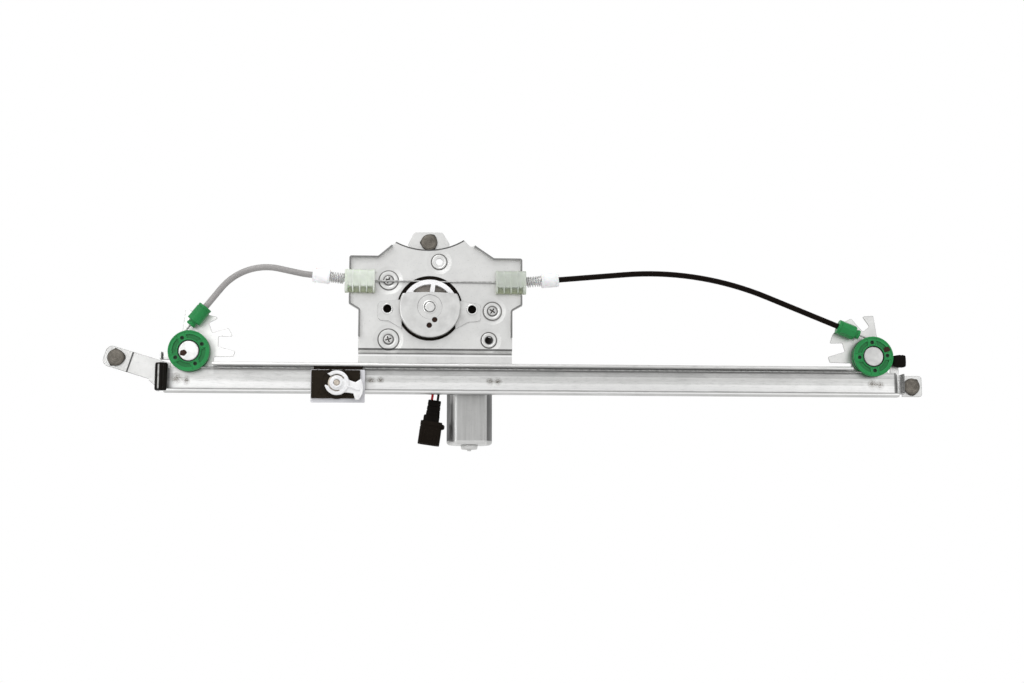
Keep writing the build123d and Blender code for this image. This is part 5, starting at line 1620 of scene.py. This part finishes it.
class REGULATOR_OT_buffers(bpy.types.Operator):
    """Replaces the rubber buffers at the ends of the rail"""

    bl_idname = "regulator.buffers"
    bl_label = "Buffers"

    def execute(self, context):
        self.left()
        self.right()
        return {"FINISHED"}

    def left(self):
        """Rubber hood: a round roll and a flatter fold beside it, carried up the wall."""
        low, high = node_box("left_buffer")
        x0, x1, y0 = low[0], high[0], low[1]
        roll = arc((x0 + 3.9, y0 + 3.9), 3.85, 180, 350, 22)
        fold = arc((x1 - 2.9, y0 + 3.9), 2.8, 215, 360, 14)
        section = np.concatenate([
            [(x0 + 2.3, high[1] - 0.2), (x0, high[1] - 0.2)], roll, fold,
            [(x1, y0 + 6.9), (x0 + 3.9, y0 + 6.9), (x0 + 3.8, y0 + 4.6), (x0 + 2.4, y0 + 4.7)],
        ])
        centre = section.mean(0)
        # Soft ends: the section's size at heights above the foot.
        height = np.array([0, 0.02, 0.3, 0.9, 1.8, 22.8, 23.7, 24.3, 24.58, 24.6])
        share = np.array([0.0, 0.80, 0.90, 0.965, 1, 1, 0.965, 0.90, 0.80, 0.0])
        loops = centre + (section - centre)[None] * share[:, None, None]
        z = np.broadcast_to((low[2] + height)[:, None], loops.shape[:2])
        points = np.stack([loops[..., 0], loops[..., 1], z], -1)
        faces = grid_faces(*points.shape[:2])
        piece = build("left_buffer_piece", points, faces, "frame", finishes["hood"], 60)
        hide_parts("left_buffer")

    def right(self):
        """Rubber block, narrower towards the pulley, with two soft bands."""
        low, high = node_box("right_buffer")
        middle, size = (low + high) / 2, high - low
        points, faces = rounded_box(middle, size, 1.3, columns=48, crown=-0.02)
        share = (points[..., 0] - low[0]) / size[0]
        narrow = 0.86 + 0.14 * np.clip(share * 2.2, 0, 1)
        points[..., 2] = middle[2] + (points[..., 2] - middle[2]) * narrow
        parts = [(points, faces)]
        band = (0.8, size[1] - 0.02, size[2] - 0.1)
        for x in (high[0] - 3.2, high[0] - 6.0):
            parts.append(rounded_box(at(x, middle[1] - 0.02, middle[2]), band, 0.3, columns=28))
        piece = join("right_buffer_piece", parts, "frame", finishes["rubber"], 60)
        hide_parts("right_buffer")


class REGULATOR_OT_stage(bpy.types.Operator):
    """Places the camera, the lamps, the floor and the backdrop"""

    bl_idname = "regulator.stage"
    bl_label = "Stage"

    def execute(self, context):
        sizes = context.scene.regulator_sizes
        self.camera(context.scene, sizes)
        self.lamp("key_lamp", (-0.6, -1.1, 1.5), (1.2, 1.2), 12.0)
        self.lamp("fill_lamp", (1.4, -1.3, 0.2), (1.2, 1.2), 3.0)
        self.lamp("strip_lamp", (-0.75, -1.2, -0.05), (0.05, 1.3), 2.5)
        self.room(context.scene)
        context.scene.view_settings.view_transform = "Standard"
        return {"FINISHED"}

    def camera(self, scene, sizes):
        """Looks at the middle of the photo's view, from a little below and to the left."""
        aim = Vector((0.0751, -0.008, -0.0910))
        yaw, pitch = math.radians(3.7), math.radians(8.0)
        look = Vector((
            math.sin(yaw) * math.cos(pitch), math.cos(yaw) * math.cos(pitch), math.sin(pitch),
        ))
        data = bpy.data.cameras.new("photo_camera")
        data.lens = sizes.lens
        data.sensor_width = 36.0
        camera = bpy.data.objects.new("photo_camera", data)
        camera.matrix_world = self.facing(aim - look * sizes.distance, look)
        scene.collection.objects.link(camera)
        scene.camera = camera

    def facing(self, place, look):
        """Matrix of a camera or lamp that stands at a place and looks along a vector."""
        return Matrix.Translation(place) @ look.to_track_quat("-Z", "Y").to_matrix().to_4x4()

    def lamp(self, name, place, size, power):
        data = bpy.data.lights.new(name, "AREA")
        data.shape = "RECTANGLE"
        data.size, data.size_y = size
        data.energy = power
        lamp = bpy.data.objects.new(name, data)
        place = Vector(place)
        aim = Vector((0.09, 0.0, -0.09))
        lamp.matrix_world = self.facing(place, aim - place)
        bpy.context.scene.collection.objects.link(lamp)

    def room(self, scene):
        """Pale floor and backdrop that show as white; the sky's level follows direction.x."""
        low, far = -0.34, 2.5
        floor = ((-40, -40, low), (40, -40, low), (40, far, low), (-40, far, low))
        self.sheet("floor", 0.8, floor)
        self.sheet("backdrop", 0.5, ((-5, far, low), (5, far, low), (5, far, 4), (-5, far, 4)))
        world = bpy.data.worlds.new("studio")
        scene.world = world
        world.use_nodes = True
        tree = world.node_tree
        back = tree.nodes["Background"]
        direction = tree.nodes.new("ShaderNodeTexCoord").outputs["Generated"]
        split = tree.nodes.new("ShaderNodeSeparateXYZ")
        tree.links.new(direction, split.inputs[0])
        side = tree.nodes.new("ShaderNodeMapRange")
        side.inputs["From Min"].default_value = -1
        tree.links.new(split.outputs["X"], side.inputs["Value"])
        ramp = tree.nodes.new("ShaderNodeValToRGB")
        tree.links.new(side.outputs[0], ramp.inputs[0])
        # (direction.x, level)
        stops = ((-1.0, 1.0), (-0.85, 1.0), (-0.5, 1.0), (-0.25, 1.08), (-0.1, 1.0), (0.04, 0.83),
                 (0.2, 0.88), (0.34, 1.0), (0.5, 0.9), (0.68, 0.65), (1.0, 0.6))
        while len(ramp.color_ramp.elements) < len(stops):
            ramp.color_ramp.elements.new(0.5)
        for element, (place, level) in zip(ramp.color_ramp.elements, stops):
            element.position = (place + 1) / 2
            element.color = (level, level, level, 1)
        tree.links.new(ramp.outputs[0], back.inputs["Color"])

    def sheet(self, name, grey, corners):
        """A matt stage sheet that is plain white to the camera, to mirrors and through glass."""
        mesh = bpy.data.meshes.new(name)
        mesh.from_pydata(corners, [], [(0, 1, 2, 3)])
        sheet = bpy.data.objects.new(name, mesh)
        bpy.context.scene.collection.objects.link(sheet)
        paper = bpy.data.materials.new(name + "_paper")
        paper.use_nodes = True
        tree = paper.node_tree
        matt = tree.nodes["Principled BSDF"]
        matt.inputs["Base Color"].default_value = (grey, grey, grey, 1)
        matt.inputs["Roughness"].default_value = 0.9
        glow = tree.nodes.new("ShaderNodeEmission")
        ways = tree.nodes.new("ShaderNodeLightPath").outputs
        share = ways["Is Camera Ray"]
        for way in ("Is Glossy Ray", "Is Transmission Ray"):
            more = tree.nodes.new("ShaderNodeMath")
            more.operation = "MAXIMUM"
            tree.links.new(share, more.inputs[0])
            tree.links.new(ways[way], more.inputs[1])
            share = more.outputs[0]
        mix = tree.nodes.new("ShaderNodeMixShader")
        tree.links.new(share, mix.inputs[0])
        tree.links.new(matt.outputs[0], mix.inputs[1])
        tree.links.new(glow.outputs[0], mix.inputs[2])
        tree.links.new(mix.outputs[0], tree.nodes["Material Output"].inputs["Surface"])
        mesh.materials.append(paper)


OPERATORS = (
    REGULATOR_OT_stage, REGULATOR_OT_pigtail, REGULATOR_OT_sheet_metal, REGULATOR_OT_studs,
    REGULATOR_OT_fasteners, REGULATOR_OT_pulleys, REGULATOR_OT_cable_run, REGULATOR_OT_drum,
    REGULATOR_OT_motor, REGULATOR_OT_carriage, REGULATOR_OT_buffers,
)


class REGULATOR_PT_panel(bpy.types.Panel):
    """Sizes, colours and one button for each group of pieces"""

    bl_idname = "REGULATOR_PT_panel"
    bl_label = "Window Regulator"
    bl_space_type = "VIEW_3D"
    bl_region_type = "UI"
    bl_category = "Regulator"

    def draw(self, context):
        for group in (context.scene.regulator_sizes, context.scene.regulator_colours):
            for name in group.__annotations__:
                self.layout.prop(group, name)
        for operator in OPERATORS:
            self.layout.operator(operator.bl_idname)


CLASSES = (RegulatorColours, RegulatorSizes, *OPERATORS, REGULATOR_PT_panel)


def register():
    for item in CLASSES:
        bpy.utils.register_class(item)
    bpy.types.Scene.regulator_colours = PointerProperty(type=RegulatorColours)
    bpy.types.Scene.regulator_sizes = PointerProperty(type=RegulatorSizes)


def unregister():
    del bpy.types.Scene.regulator_sizes
    del bpy.types.Scene.regulator_colours
    for item in reversed(CLASSES):
        bpy.utils.unregister_class(item)


def main():
    """Registers everything, makes the finishes and the pieces."""
    register()
    mix_finishes(bpy.context.scene.regulator_colours)
    for operator in OPERATORS:
        group, name = operator.bl_idname.split(".")
        getattr(getattr(bpy.ops, group), name)()


if __name__ == "__main__":
    main()
